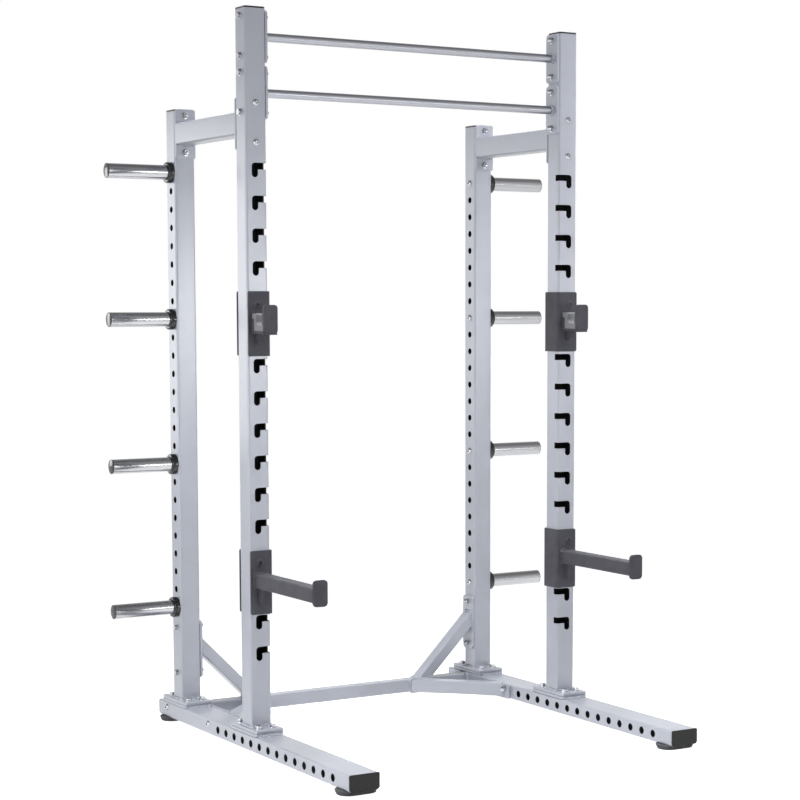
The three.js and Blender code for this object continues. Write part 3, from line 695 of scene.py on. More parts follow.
def wire(surface, **outputs):
    """Joins outputs to the shader's inputs."""
    for key, output in outputs.items():
        surface.id_data.links.new(output, surface.inputs[key.replace("_", " ")])


def silver_powder_coat(colours):
    # Metallic polyester powder coat, sprayed on steel and baked: a satin skin with faint orange peel
    # and tiny flakes. The peel is about 2 mm across; the flakes are drawn at 0.7 mm, ten times too coarse.
    shader = {"Metallic": 0.2, "Coat_Weight": 0.5, "Coat_Roughness": 0.2}
    tree, surface, place = new_material("silver_powder_coat", **shader)
    flakes = add_node(tree, "TexVoronoi", {"Vector": place, "Scale": per_metre(0.7)}).outputs["Color"]
    drift = noise(tree, place, 220, 2)
    peel = noise(tree, place, 2, 2)
    level = add_node(tree, "Math", {0: spread(tree, flakes, 0.42, 0.58), 1: drift}, operation="ADD")
    wire(
        surface,
        Base_Color=two_tone(tree, level.outputs["Value"], colours.silver, (0.75, 0.94), (1.0, 1.05)),
        Roughness=spread(tree, drift, 0.38, 0.44, 0.3, 0.7),
        Normal=relief(tree, peel, 0.12, 0.1),
    )


def charcoal_powder_coat(colours):
    # Fine-texture epoxy powder coat, sprayed and baked: dark, matt and slightly sandy to the eye.
    # The sand is about 0.5 mm and is drawn at 1.4 mm, so that it shows.
    tree, surface, place = new_material("charcoal_powder_coat", Specular_IOR_Level=0.12)
    sand = noise(tree, place, 1.4, 3)
    drift = noise(tree, place, 60, 3)
    wire(
        surface,
        Base_Color=two_tone(tree, drift, colours.charcoal, (0.3, 0.88), (0.7, 1.12)),
        Roughness=spread(tree, sand, 0.42, 0.6),
        Normal=relief(tree, sand, 0.25, 0.15),
    )


def chrome_plated_steel(colours):
    # Bright chrome over polished tube: a mirror with long faint streaks from polishing along its length.
    # The streaks are a hair wide, drawn 2 mm wide and 180 mm long.
    tree, surface, place = new_material("chrome_plated_steel", Metallic=1.0)
    streaks = drawn_noise(tree, place, (180, 2, 2), 3)
    wire(
        surface,
        Base_Color=two_tone(tree, streaks, colours.chrome, (0.3, 0.8), (0.65, 1.1)),
        Roughness=spread(tree, streaks, 0.12, 0.24),
        Normal=relief(tree, streaks, 0.06, 0.05),
    )


def satin_chrome_steel(colours):
    # Satin chrome over a turned steel bar: grey metal with a soft broad sheen and fine lines round the bar.
    # The lines are a hair wide and are drawn 1.5 mm apart.
    tree, surface, place = new_material("satin_chrome_steel", Metallic=1.0)
    lines = drawn_noise(tree, place, (1.5, 40, 40), 2)
    wire(
        surface,
        Base_Color=two_tone(tree, lines, colours.satin, (0.35, 0.97), (0.65, 1.03)),
        Roughness=spread(tree, lines, 0.3, 0.34),
    )


def zinc_plated_steel(colours):
    # Forged bolts with bright zinc: a greyish metal with cloudy patches a few millimetres wide.
    tree, surface, place = new_material("zinc_plated_steel", Metallic=1.0)
    clouds = noise(tree, place, 6, 3)
    wire(
        surface,
        Base_Color=two_tone(tree, clouds, colours.zinc, (0.3, 0.8), (0.7, 1.08)),
        Roughness=spread(tree, clouds, 0.12, 0.28),
    )


def moulded_polypropylene(colours):
    # Black polypropylene, injection moulded: deep black with a soft gloss and a fine spark-eroded grain.
    # The grain is about 0.3 mm and is drawn at 0.8 mm.
    shader = {"Base_Color": [*colours.plastic, 1], "IOR": 1.49, "Specular_IOR_Level": 0.3}
    tree, surface, place = new_material("moulded_polypropylene", **shader)
    grain = noise(tree, place, 0.8, 2)
    wire(surface, Roughness=spread(tree, grain, 0.22, 0.42), Normal=relief(tree, grain, 0.1, 0.05))


def polished_nylon(colours):
    # Black nylon from a polished mould, as in push-in tube caps: deep black and wet-looking, with soft
    # dents a few millimetres wide where the moulding has shrunk.
    shader = {"Base_Color": [*colours.plastic, 1], "IOR": 1.53, "Roughness": 0.1}
    tree, surface, place = new_material("polished_nylon", **shader)
    wire(surface, Normal=relief(tree, noise(tree, place, 9, 1), 0.35, 0.6))


def moulded_rubber(colours):
    # Grey-black rubber, pressed in a mould: matt, with faint dusty patches about 15 mm wide.
    tree, surface, place = new_material("moulded_rubber", IOR=1.52, Roughness=0.8)
    dust = noise(tree, place, 15, 4)
    wire(
        surface,
        Base_Color=two_tone(tree, dust, colours.rubber, (0.35, 0.85), (0.7, 1.3)),
        Normal=relief(tree, noise(tree, place, 1, 2), 0.3, 0.1),
    )


def mill_scale_and_painted_shade(colours):
    # Hot-rolled steel as it comes from the mill, for the bare inside of the tubes and the walls of their
    # cuts:
    # blue-black and dull, with blotches a few centimetres wide. Its near-black tone is partly painted shade,
    # which keeps the slots and holes dark.
    tree, surface, place = new_material("mill_scale_and_painted_shade", Metallic=0.3, Roughness=0.7)
    blotches = noise(tree, place, 35, 3)
    wire(surface, Base_Color=two_tone(tree, blotches, colours.scale, (0.35, 0.8), (0.7, 1.3)))


def cut_polyethylene(colours):
    # Pale dense polyethylene, sawn and milled from sheet: milky and waxy, with faint tool marks. These are
    # about 1.5 mm apart and are drawn 9 mm apart, since a wave is 0.31 of the texture's unit of 30 mm.
    shader = {"IOR": 1.54, "Roughness": 0.6, "Specular_IOR_Level": 0.35}
    tree, surface, place = new_material("cut_polyethylene", **shader)
    settings = {"Vector": place, "Scale": per_metre(30), "Distortion": 1.5, "Detail": 2}
    marks = add_node(tree, "TexWave", settings, wave_type="BANDS", bands_direction="Z")
    clouds = noise(tree, place, 12, 3)
    wire(
        surface,
        Base_Color=two_tone(tree, clouds, colours.liner, (0.3, 0.95), (0.7, 1.04)),
        Normal=relief(tree, marks.outputs["Fac"], 0.1, 0.05),
    )


FINISHES = (
    silver_powder_coat,
    charcoal_powder_coat,
    chrome_plated_steel,
    satin_chrome_steel,
    zinc_plated_steel,
    moulded_polypropylene,
    polished_nylon,
    moulded_rubber,
    cut_polyethylene,
    mill_scale_and_painted_shade,
)


class RACK_OT_finishes(bpy.types.Operator):
    """Makes the materials of all the pieces"""

    bl_idname = "rack.finishes"
    bl_label = "Finishes"

    def execute(self, context):
        for finish in FINISHES:
            finish(context.scene.rack_finishes)
        return {"FINISHED"}


# Uprights


def add_uprights(context, name, node, cut):
    """Uprights with their tubes cut, the bare skin inside as partly painted shade, the foot plates and the
    beads round the feet.
    """
    uprights, joining = context.scene.rack_uprights, context.scene.rack_joining
    low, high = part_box(f"{node}_right")
    centre = (low + high) / 2
    foot = low.z + uprights.plate
    section = (centre.x, centre.y, uprights.size, uprights.size)
    sizes = (*section, uprights.wall, uprights.corner, foot, high.z)
    outline = box_outline("z", (low, high), uprights.plate_corner)
    shells = [cut(tube("z", *sizes)), plate("z", outline, low.z, foot, uprights.plate_easing)]
    bead_path = across("z", rounded_about(*section, uprights.corner), foot)
    add_pair(name, shells, *COATED_WITH_SHADED_CUTS, nodes=[node])
    # The skin inside is dark steel and partly painted shade, which keeps the slots and holes dark
    add_pair(f"{name}_bore", [cut(bare_shade_skin("z", *sizes))], *BARE_STEEL_AND_SHADE)
    bead = weld(bead_path, Z_WAY, joining.weld, joining.ripple)
    add_pair(f"{name}_weld", [bead], "silver_powder_coat")


def slot_outline(uprights, inner_x, top):
    """A J-slot seen from the front, open past the upright's inner face."""
    radius = uprights.slot_width / 2
    leg = inner_x + uprights.slot_inset
    open_x = inner_x - OVERRUN
    return [
        (open_x, top - uprights.slot_run),
        (leg - radius, top - uprights.slot_run),
        *arc(leg, top - uprights.slot_height + radius, radius, 180, 360, 2 * CORNER_STEPS),
        *arc(leg, top - radius, radius, 0, 90),
        (open_x, top),
    ]


class RACK_OT_front_uprights(bpy.types.Operator):
    """Square tubes with a row of J-slots, each welded to its foot plate"""

    bl_idname = "rack.front_uprights"
    bl_label = "Front uprights"

    def execute(self, context):
        uprights = context.scene.rack_uprights
        centre = middle("front_upright_right")
        inner_x = centre.x - uprights.size / 2
        front_y = centre.y - uprights.size / 2
        tops = [uprights.slot_top + k * uprights.slot_pitch for k in range(uprights.slots)]
        depth = (front_y - OVERRUN, front_y + uprights.wall + OVERRUN)
        mouth_x = inner_x + uprights.wall + OVERRUN
        mouth = [
            (inner_x - OVERRUN, front_y - 2 * OVERRUN),
            (mouth_x, front_y - 2 * OVERRUN),
            (mouth_x, front_y + uprights.slot_mouth),
            (inner_x - OVERRUN, front_y + uprights.slot_mouth),
        ]

        def slotted(shell):
            slots = [prism("y", slot_outline(uprights, inner_x, top), *depth) for top in tops]
            mouths = [prism("z", mouth, top - uprights.slot_run, top) for top in tops]
            return pierced(shell, slots, mouths)

        add_uprights(context, "slotted_upright", "front_upright", slotted)
        return {"FINISHED"}


class RACK_OT_rear_uprights(bpy.types.Operator):
    """Square tubes with a row of holes through their sides, each welded to its foot plate"""

    bl_idname = "rack.rear_uprights"
    bl_label = "Rear uprights"

    def execute(self, context):
        uprights = context.scene.rack_uprights
        low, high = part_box("rear_upright_right")
        centre_y = (low.y + high.y) / 2
        heights = [uprights.hole_height + k * uprights.hole_pitch for k in range(uprights.holes)]

        def drilled(shell):
            outlines = [ring(centre_y, z, uprights.hole / 2, HOLE_SIDES) for z in heights]
            return pierced(shell, [prism("x", outline, low.x, high.x) for outline in outlines])

        add_uprights(context, "drilled_upright", "rear_upright", drilled)
        return {"FINISHED"}


class RACK_OT_upright_caps(bpy.types.Operator):
    """Plastic caps on the uprights, with a plug inside the tube"""

    bl_idname = "rack.upright_caps"
    bl_label = "Upright caps"

    def execute(self, context):
        uprights = context.scene.rack_uprights
        for name in ("front", "rear"):
            low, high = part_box(f"{name}_upright_cap_right")
            rim = high.z - uprights.cap
            outline = box_outline("z", (low, high), uprights.corner)
            top = plate("z", outline, rim, high.z, CAP_EASE)
            inset = uprights.wall + context.scene.rack_hooks.gap
            outline = box_outline("z", (low, high), uprights.corner - uprights.wall / 2, inset)
            plug = prism("z", outline, low.z, rim)
            nodes = [f"{name}_upright_cap"]
            add_pair(f"{name}_upright_insert", [top, plug], "moulded_polypropylene", nodes=nodes)
        return {"FINISHED"}


# Base


class RACK_OT_base_rails(bpy.types.Operator):
    """Rectangular tubes with side holes and the plates that the uprights stand on"""

    bl_idname = "rack.base_rails"
    bl_label = "Base rails"

    def execute(self, context):
        scene = context.scene
        base, uprights, joining = scene.rack_base, scene.rack_uprights, scene.rack_joining
        low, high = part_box("base_rail_right")
        centre = (low + high) / 2
        top = low.z + base.height
        centre_z = low.z + base.height / 2
        sizes = (base.width, base.height, base.wall, base.corner, low.y, high.y)
        # The skin inside the rail (bore) is dark steel and partly painted shade, which keeps its holes dark
        shell, bore = (make("y", centre.x, centre_z, *sizes) for make in (tube, bare_shade_skin))
        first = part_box("rail_cap_front_right")[0].y + base.hole_inset
        rows = [first + k * uprights.hole_pitch for k in range(base.holes)]

        def drilled(shell):
            outlines = [ring(y, centre_z, base.hole / 2, HOLE_SIDES) for y in rows]
            ends = (low.x - OVERRUN, high.x + OVERRUN)
            return pierced(shell, [prism("x", outline, *ends) for outline in outlines])

        shells = [drilled(shell)]
        beads = []
        for node in ("front_upright_right", "rear_upright_right"):
            outline = box_outline("z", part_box(node), uprights.plate_corner)
            shells.append(plate("z", outline, top, top + uprights.plate, uprights.plate_easing))
            for y in (corner.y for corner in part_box(node)):
                run = [Vector((x, y, top)) for x in (low.x + uprights.plate, high.x - uprights.plate)]
                beads.append(weld(run, Z_WAY, joining.weld, joining.ripple, closed=False))
        add_pair("rail_weldment", shells, *COATED_WITH_SHADED_CUTS, nodes=["base_rail"])
        add_pair("rail_shade_skin", [drilled(bore)], *BARE_STEEL_AND_SHADE)
        add_pair("rail_weld", beads, "silver_powder_coat")
        return {"FINISHED"}


class RACK_OT_rail_inserts(bpy.types.Operator):
    """Plastic inserts in the rails' ends, cut off at the lower corners, with a shallow panel"""

    bl_idname = "rack.rail_inserts"
    bl_label = "Rail inserts"

    def execute(self, context):
        base = context.scene.rack_base
        for name, facing in (("front", -1), ("rear", 1)):
            low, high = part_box(f"rail_cap_{name}_right")
            cut, soft = base.insert_chamfer, base.corner / 2
            outline = [
                (low.x + cut, low.z),
                (high.x - cut, low.z),
                (high.x, low.z + cut),
                (high.x, high.z - soft),
                (high.x - soft, high.z),
                (low.x + soft, high.z),
                (low.x, high.z - soft),
                (low.x, low.z + cut),
            ]
            face_y = low.y if facing < 0 else high.y
            seam_y = face_y - facing * base.insert
            face = prism("y", outline, *sorted((face_y, seam_y)))
            panel = [f for f in face.faces if f.normal.y * facing > SAME_WAY]
            bmesh.ops.inset_region(face, faces=panel, thickness=base.insert_rim, depth=-base.insert_panel)
            inset = base.wall + context.scene.rack_hooks.gap
            outline = box_outline("y", (low, high), base.corner - base.wall / 2, inset)
            plug_end = high.y if facing < 0 else low.y
            shells = [eased(face, FINE_EASE), prism("y", outline, *sorted((seam_y, plug_end)))]
            add_pair(f"rail_insert_{name}", shells, "moulded_polypropylene", nodes=[f"rail_cap_{name}"])
        return {"FINISHED"}


class RACK_OT_foot_pads(bpy.types.Operator):
    """Rubber pads under the rails' ends, narrower at the sole and grooved all round"""

    bl_idname = "rack.foot_pads"
    bl_label = "Foot pads"

    def execute(self, context):
        base = context.scene.rack_base
        for name in ("front", "rear"):
            low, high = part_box(f"foot_pad_{name}_right")
            rings = []
            for share, height in (*PAD_RINGS, (0, (high.z - low.z) / MM)):
                inset = base.pad_taper * share
                outline = box_outline("z", (low, high), base.pad_corner, inset, PAD_CORNER_STEPS)
                rings.append(across("z", outline, low.z + height * MM))
            add_pair(f"rubber_foot_{name}", [loft(rings)], "moulded_rubber", nodes=[f"foot_pad_{name}"])
        return {"FINISHED"}


class RACK_OT_crossmember(bpy.types.Operator):
    """Straight rear tube with two diagonal arms and the plates that bolt to the rails"""

    bl_idname = "rack.crossmember"
    bl_label = "Rear crossmember"

    def execute(self, context):
        base, joining = context.scene.rack_base, context.scene.rack_joining
        low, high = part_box("rear_crossmember")
        back_y = middle("rear_upright_right").y
        centre_z = high.z - base.tube / 2
        plate_x = high.x - base.plate
        sizes = (base.tube, base.tube, base.tube_wall, base.tube_corner)
        shells = [tube("x", back_y, centre_z, *sizes, -plate_x, plate_x)]
        beads = []
        # A bead starts after the tube's first two corners and leaves out the side between them
        skipped = 2 * (CORNER_STEPS + 1)
        for side in (1, -1):
            outline = box_outline("x", (low, high), base.plate_corner)
            shells.append(plate("x", outline, *sorted((side * plate_x, side * high.x))))
            start = Vector((side * (plate_x - base.diagonal), back_y, centre_z))
            along = Vector((side, -1, 0)).normalized()
            planes = (
                (Vector((0, back_y - base.tube / 2, 0)), Y_WAY),
                (Vector((side * plate_x, 0, 0)), X_WAY),
            )
            arm, ends = mitred_tube(start, along, Z_WAY, sizes, planes)
            shells.append(arm)
            beads.append(weld(ends[0], Y_WAY, joining.tube_weld, joining.ripple))
            section = rounded_about(back_y, centre_z, base.tube, base.tube, base.tube_corner)
            for path in (ends[1], across("x", section, side * plate_x)):
                open_path = path[skipped:] + path[:skipped]
                beads.append(weld(open_path, X_WAY, joining.tube_weld, joining.ripple, closed=False))
        nodes = ["rear_crossmember"]
        add_piece("crossmember_weldment", merged(shells), "silver_powder_coat", nodes=nodes)
        add_piece("crossmember_weld", merged(beads), "silver_powder_coat")
        return {"FINISHED"}


class RACK_OT_braces(bpy.types.Operator):
    """Braces from the rear uprights down to the crossmember"""

    bl_idname = "rack.braces"
    bl_label = "Braces"

    def execute(self, context):
        base, joining = context.scene.rack_base, context.scene.rack_joining
        low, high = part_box("brace_right")
        plate_x = high.x - base.brace_plate
        centre_y = (low.y + high.y) / 2
        foot = Vector((plate_x - base.brace_reach, centre_y, low.z))
        planes = ((foot, Z_WAY), (Vector((plate_x, 0, 0)), X_WAY))
        sizes = (base.brace_width, base.brace_depth, base.tube_wall, base.tube_corner)
        along = Vector((1, 0, 1)).normalized()
        arm, ends = mitred_tube(foot, along, Y_WAY, sizes, planes)
        plate_low_z = high.z - base.brace_plate_height
        outline = rounded(low.y, high.y, plate_low_z, high.z, base.brace_plate_corner)
        shells = [arm, plate("x", outline, plate_x, high.x)]
        beads = [
            weld(end, way, joining.tube_weld, joining.ripple) for end, way in zip(ends, (Z_WAY, X_WAY))
        ]
        add_pair("brace_weldment", shells, "silver_powder_coat", nodes=["brace"])
        add_pair("brace_weld", beads, "silver_powder_coat")
        return {"FINISHED"}


# Top


class RACK_OT_side_arms(bpy.types.Operator):
    """Tubes between the front and rear uprights, with a plate at each end"""

    bl_idname = "rack.side_arms"
    bl_label = "Side arms"

    def execute(self, context):
        scene = context.scene
        top, uprights, joining = scene.rack_top, scene.rack_uprights, scene.rack_joining
        low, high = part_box("side_arm_right")
        centre = (low + high) / 2
        seams = (low.y + top.arm_plate, high.y - top.arm_plate)
        sizes = (uprights.size, uprights.size, uprights.wall, uprights.corner)
        outline = box_outline("y", (low, high), top.arm_plate_corner)
        shells = [
            tube("y", centre.x, centre.z, *sizes, *seams),
            plate("y", outline, low.y, seams[0]),
            plate("y", outline, seams[1], high.y),
        ]
        beads = []
        for y in seams:
            for z in (centre.z - uprights.size / 2, centre.z + uprights.size / 2):
                run = [Vector((x, y, z)) for x in (low.x + uprights.corner, high.x - uprights.corner)]
                beads.append(weld(run, Y_WAY, joining.tube_weld, joining.ripple, closed=False))
        add_pair("side_arm_weldment", shells, "silver_powder_coat", nodes=["side_arm"])
        add_pair("side_arm_weld", beads, "silver_powder_coat")
        return {"FINISHED"}


class RACK_OT_pull_up_bars(bpy.types.Operator):
    """Round bars welded to a plate at each end"""

    bl_idname = "rack.pull_up_bars"
    bl_label = "Pull-up bars"

    def execute(self, context):
        top, joining = context.scene.rack_top, context.scene.rack_joining
        for name in ("upper", "lower"):
            low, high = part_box(f"pull_up_bar_{name}")
            centre = (low + high) / 2
            plate_x = high.x - top.bar_plate
            radius = top.bar / 2
            profile = [(0, -plate_x), (radius, -plate_x), (radius, plate_x), (0, plate_x)]
            bar = turned("x", centre, profile)
            outline = box_outline("x", (low, high), top.bar_plate_corner)
            shells = [plate("x", outline, plate_x, high.x), plate("x", outline, low.x, -plate_x)]
            circle = ring(centre.y, centre.z, radius, ROUND_SIDES)
            paths = (across("x", circle, x) for x in (-plate_x, plate_x))
            beads = [weld(path, X_WAY, joining.weld, joining.ripple) for path in paths]
            add_piece(f"pull_up_tube_{name}", bar, "satin_chrome_steel", nodes=[f"pull_up_bar_{name}"])
            add_piece(f"pull_up_plates_{name}", merged(shells), "silver_powder_coat")
            add_piece(f"pull_up_weld_{name}", merged(beads), "silver_powder_coat")
        return {"FINISHED"}


# Plate storage


class RACK_OT_plate_horns(bpy.types.Operator):
    """Chrome tubes for weight plates, each with a stop collar and an end cap"""

    bl_idname = "rack.plate_horns"
    bl_label = "Plate horns"

    def execute(self, context):
        horns = context.scene.rack_horns
        radius = horns.diameter / 2
        bore = radius - horns.wall
        for number in range(1, horns.count + 1):
            low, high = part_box(f"plate_horn_{number}_right")
            seat = Vector((low.x, (low.y + high.y) / 2, (low.z + high.z) / 2))
            reach = high.x - low.x
            profile = [
                (0, 0),
                (radius, 0),
                (radius, reach - horns.edge),
                (radius - horns.edge, reach),
                (bore, reach),
                (bore, horns.seat),
                (0, horns.seat),
            ]
            horn = turned("x", seat, profile)
            nodes = [f"plate_horn_{number}"]
            add_pair(f"horn_tube_{number}", [horn], "chrome_plated_steel", nodes=nodes)

            collar_low, collar_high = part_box(f"horn_collar_{number}_right")
            depth = collar_high.x - collar_low.x
            outer, hole = horns.collar / 2, radius + horns.collar_play
            profile = [
                (hole, 0),
                (outer - FINE_EASE, 0),
                (outer, FINE_EASE),
                (outer, depth - horns.collar_chamfer),
                (outer - horns.collar_chamfer, depth),
                (hole + horns.edge, depth),
                (hole, depth - horns.edge),
            ]
            collar = turned("x", seat, profile, closed=True)
            add_pair(f"stop_collar_{number}", [collar], "polished_nylon", nodes=[f"horn_collar_{number}"])

            cap_low, cap_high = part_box(f"horn_cap_{number}_right")
            seam = cap_high.x - horns.cap
            rim, plug = radius - horns.cap_inset, bore - horns.plug_play
            # A low dome, from its rim to its middle
            shares = (0.97, 0.9, 0.75, 0.6, 0.45, 0.3, 0.15)
            profile = [
                (0, cap_low.x - seam),
                (plug, cap_low.x - seam),
                (plug, 0),
                (rim, 0),
                (rim, 0.3 * horns.cap),
                *((rim * share, horns.cap * (1 - 0.6 * share**2)) for share in shares),
                (0, horns.cap),
            ]
            cap = turned("x", Vector((seam, seat.y, seat.z)), profile)
            add_pair(f"horn_insert_{number}", [cap], "polished_nylon", nodes=[f"horn_cap_{number}"])
        return {"FINISHED"}


# Hooks and spotter arms


def bracket_faces(context):
    """Outer faces of a bracket at its front, back and side, and the centre of the upright."""
    uprights, hooks = context.scene.rack_uprights, context.scene.rack_hooks
    centre = middle("front_upright_right")
    reach = uprights.size / 2 + hooks.gap + hooks.plate
    return centre.y - reach, centre.y + reach, centre.x - reach, centre


def bracket(context, low_z, high_z):
    """Plate folded round three sides of the upright, open at its outer side."""
    uprights, hooks = context.scene.rack_uprights, context.scene.rack_hooks
    front, back, side, centre = bracket_faces(context)
    outer_x = centre.x + uprights.size / 2
    inner_front, inner_back = front + hooks.plate, back - hooks.plate
    bend, inner_bend = hooks.bend, hooks.bend - hooks.plate
    turn_x = side + hooks.plate + inner_bend
    fold = [
        (outer_x, front),
        (outer_x, inner_front),
        *reversed(arc(turn_x, inner_front + inner_bend, inner_bend, 180, 270, INNER_BEND_STEPS)),
        *reversed(arc(turn_x, inner_back - inner_bend, inner_bend, 90, 180, INNER_BEND_STEPS)),
        (outer_x, inner_back),
        (outer_x, back),
        *arc(side + bend, back - bend, bend, 90, 180),
        *arc(side + bend, front + bend, bend, 180, 270),
    ]
    shell = prism("z", fold, low_z, high_z)
    face = rounded(side - hooks.corner * 2, outer_x, low_z, high_z, hooks.corner)
    return combined(shell, [prism("y", face, front - OVERRUN, back + OVERRUN)], "INTERSECT")


def pegs(context, upper_z, lower_z):
    """The two pegs that hang a bracket in the slots. The upper one has a low head with a hex socket."""
    uprights, hooks = context.scene.rack_uprights, context.scene.rack_hooks
    front, _, _, centre = bracket_faces(context)
    x = centre.x - uprights.size / 2 + uprights.slot_inset
    radius, root, tip = hooks.peg / 2, hooks.plate / 2, hooks.peg_length
    end = [(radius, tip - hooks.peg_chamfer), (radius - hooks.peg_chamfer, tip), (0, tip)]
    pin = [(0, root), (radius, root), *end]
    shells = [turned("y", Vector((x, front, z)), pin, sides=PEG_SIDES) for z in (upper_z, lower_z)]
    head, height, socket = hooks.peg_head / 2, hooks.peg_head_height, hooks.peg_socket / 2
    floor = 0.2 * height
    profile = [
        (0, 0),
        (head, 0),
        *((head * math.cos(a), height * (0.3 + 0.7 * math.sin(a))) for a in (0, 0.4, 0.7, 0.95)),
        (socket, height),
        (socket, 0.9 * height, 6),
        (socket, floor, 6),
        (0, floor),
    ]
    shells.append(turned("y", Vector((x, front, upper_z)), profile, -1, PEG_SIDES))
    return shells


class RACK_OT_bar_hooks(bpy.types.Operator):
    """Hooks that carry the bar: bracket, pegs, shelf, lip and web"""

    bl_idname = "rack.bar_hooks"
    bl_label = "Bar hooks"

    def execute(self, context):
        hooks, joining = context.scene.rack_hooks, context.scene.rack_joining
        low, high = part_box("bar_hook_right")
        front, _, _, centre = bracket_faces(context)
        lower_z = low.z + hooks.hook_bottom
        shelf_z = lower_z + hooks.shelf_rise
        shelf_top = shelf_z + hooks.shelf
        leg_top = shelf_top + hooks.leg_height
        left, right = centre.x - hooks.cradle / 2, centre.x + hooks.cradle / 2
        lip_y = low.y + hooks.shelf
        shelf = [(left, shelf_z), (right, shelf_z), (right, shelf_top), (left, shelf_top)]
        lip = rounded(left, right, shelf_z, shelf_z + hooks.lip, hooks.lip_corner)
        leg = [(left, shelf_top), (right, shelf_top), (right, leg_top), (left, leg_top)]
        toe_z = shelf_z - hooks.hook_web_height
        web = [
            (front, shelf_z),
            (front - hooks.hook_web_depth, shelf_z),
            (front - hooks.hook_web_depth, shelf_z - hooks.hook_web_edge),
            (front - hooks.hook_web_toe, toe_z),
            (front, toe_z),
        ]
        half = hooks.hook_web / 2
        shells = [
            eased(bracket(context, low.z, high.z), FINE_EASE),
            *pegs(context, high.z - hooks.hook_top, lower_z),
            plate("y", shelf, lip_y, front),
            plate("y", lip, low.y, lip_y),
            plate("y", leg, front - hooks.leg_depth, front),
            plate("x", web, centre.x - half, centre.x + half),
        ]
        beads = []
        for y in (front, lip_y):
            run = [Vector((x, y, shelf_z)) for x in (left, right)]
            beads.append(weld(run, Z_WAY, joining.hook_weld, joining.ripple, closed=False))
        for x in (centre.x - half, centre.x + half):
            run = [Vector((x, front, z)) for z in (toe_z, shelf_z)]
            beads.append(weld(run, X_WAY, joining.hook_weld, joining.ripple, closed=False))
        add_pair("hook_weldment", shells, "charcoal_powder_coat", body="hook", nodes=["bar_hook"])
        add_pair("hook_weld", beads, "charcoal_powder_coat", body="hook")
        return {"FINISHED"}


class RACK_OT_hook_liners(bpy.types.Operator):
    """Plastic liners that carry the bar, stepped over the steel leg, and rubber pads inside the lips"""

    bl_idname = "rack.hook_liners"
    bl_label = "Hook liners"

    def execute(self, context):
        hooks = context.scene.rack_hooks
        low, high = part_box("hook_liner_right")
        seat = low.z + hooks.liner_seat
        leg_y, leg_z = high.y - hooks.leg_depth, low.z + hooks.leg_height
        rear, fore = leg_y - hooks.liner_back, low.y + hooks.lip_pad
        corner, edge = hooks.liner_corner, hooks.liner_edge
        profile = [
            (low.y, low.z),
            (leg_y, low.z),
            (leg_y, leg_z),
            (high.y, leg_z),
            (high.y, high.z),
            (rear + edge, high.z),
            (rear, high.z - edge),
            *arc(rear - corner, seat + corner, corner, 0, -90),
            (low.y, seat),
        ]
        pad = [(low.y, seat), (fore, seat), (fore, high.z - edge), (fore - edge, high.z), (low.y, high.z)]
        moulding, lip_pad = (plate("x", outline, low.x, high.x, BLOCK_EASE) for outline in (profile, pad))
        add_pair("liner_moulding", [moulding], "cut_polyethylene", body="hook", nodes=["hook_liner"])
        add_pair("lip_pad", [lip_pad], "moulded_rubber", body="hook")
        return {"FINISHED"}


class RACK_OT_spotter_arms(bpy.types.Operator):
    """Safety arms: bracket, pegs, square tube, end plate and web"""

    bl_idname = "rack.spotter_arms"
    bl_label = "Spotter arms"

    def execute(self, context):
        hooks, joining = context.scene.rack_hooks, context.scene.rack_joining
        low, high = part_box("spotter_arm_right")
        front, _, _, centre = bracket_faces(context)
        lower_z = low.z + hooks.spotter_bottom
        under_z = lower_z + hooks.spotter_rise
        size = hooks.spotter_tube
        section = (centre.x, under_z + size / 2, size, size)
        end_y = low.y + hooks.spotter_end
        left, right = centre.x - hooks.cradle / 2, centre.x + hooks.cradle / 2
        end_low = under_z - hooks.spotter_end_drop
        end_high = end_low + hooks.spotter_end_height
        outline = rounded(left, right, end_low, end_high, hooks.spotter_end_corner)
        half = hooks.spotter_web / 2
        toe_z = under_z - hooks.spotter_web_height
        web = [
            (front, under_z),
            (front - hooks.spotter_web_depth, under_z),
            (front - hooks.spotter_web_toe, toe_z),
            (front, toe_z),
        ]
        shells = [
            eased(bracket(context, low.z, high.z), FINE_EASE),
            *pegs(context, high.z - hooks.spotter_top, lower_z),
            tube("y", *section, hooks.spotter_wall, hooks.spotter_corner, end_y, front),
            plate("y", outline, low.y, end_y),
            plate("x", web, centre.x - half, centre.x + half),
        ]
        path = rounded_about(*section, hooks.spotter_corner)
        beads = [
            weld(across("y", path, y), Y_WAY, radius, joining.ripple)
            for y, radius in ((front, joining.arm_weld), (end_y, joining.arm_end_weld))
        ]
        for x in (centre.x - half, centre.x + half):
            run = [Vector((x, front, z)) for z in (toe_z, under_z)]
            beads.append(weld(run, X_WAY, joining.hook_weld, joining.ripple, closed=False))
        add_pair("arm_weldment", shells, "charcoal_powder_coat", body="spotter", nodes=["spotter_arm"])
        add_pair("arm_weld", beads, "charcoal_powder_coat", body="spotter")
        return {"FINISHED"}


# Fasteners


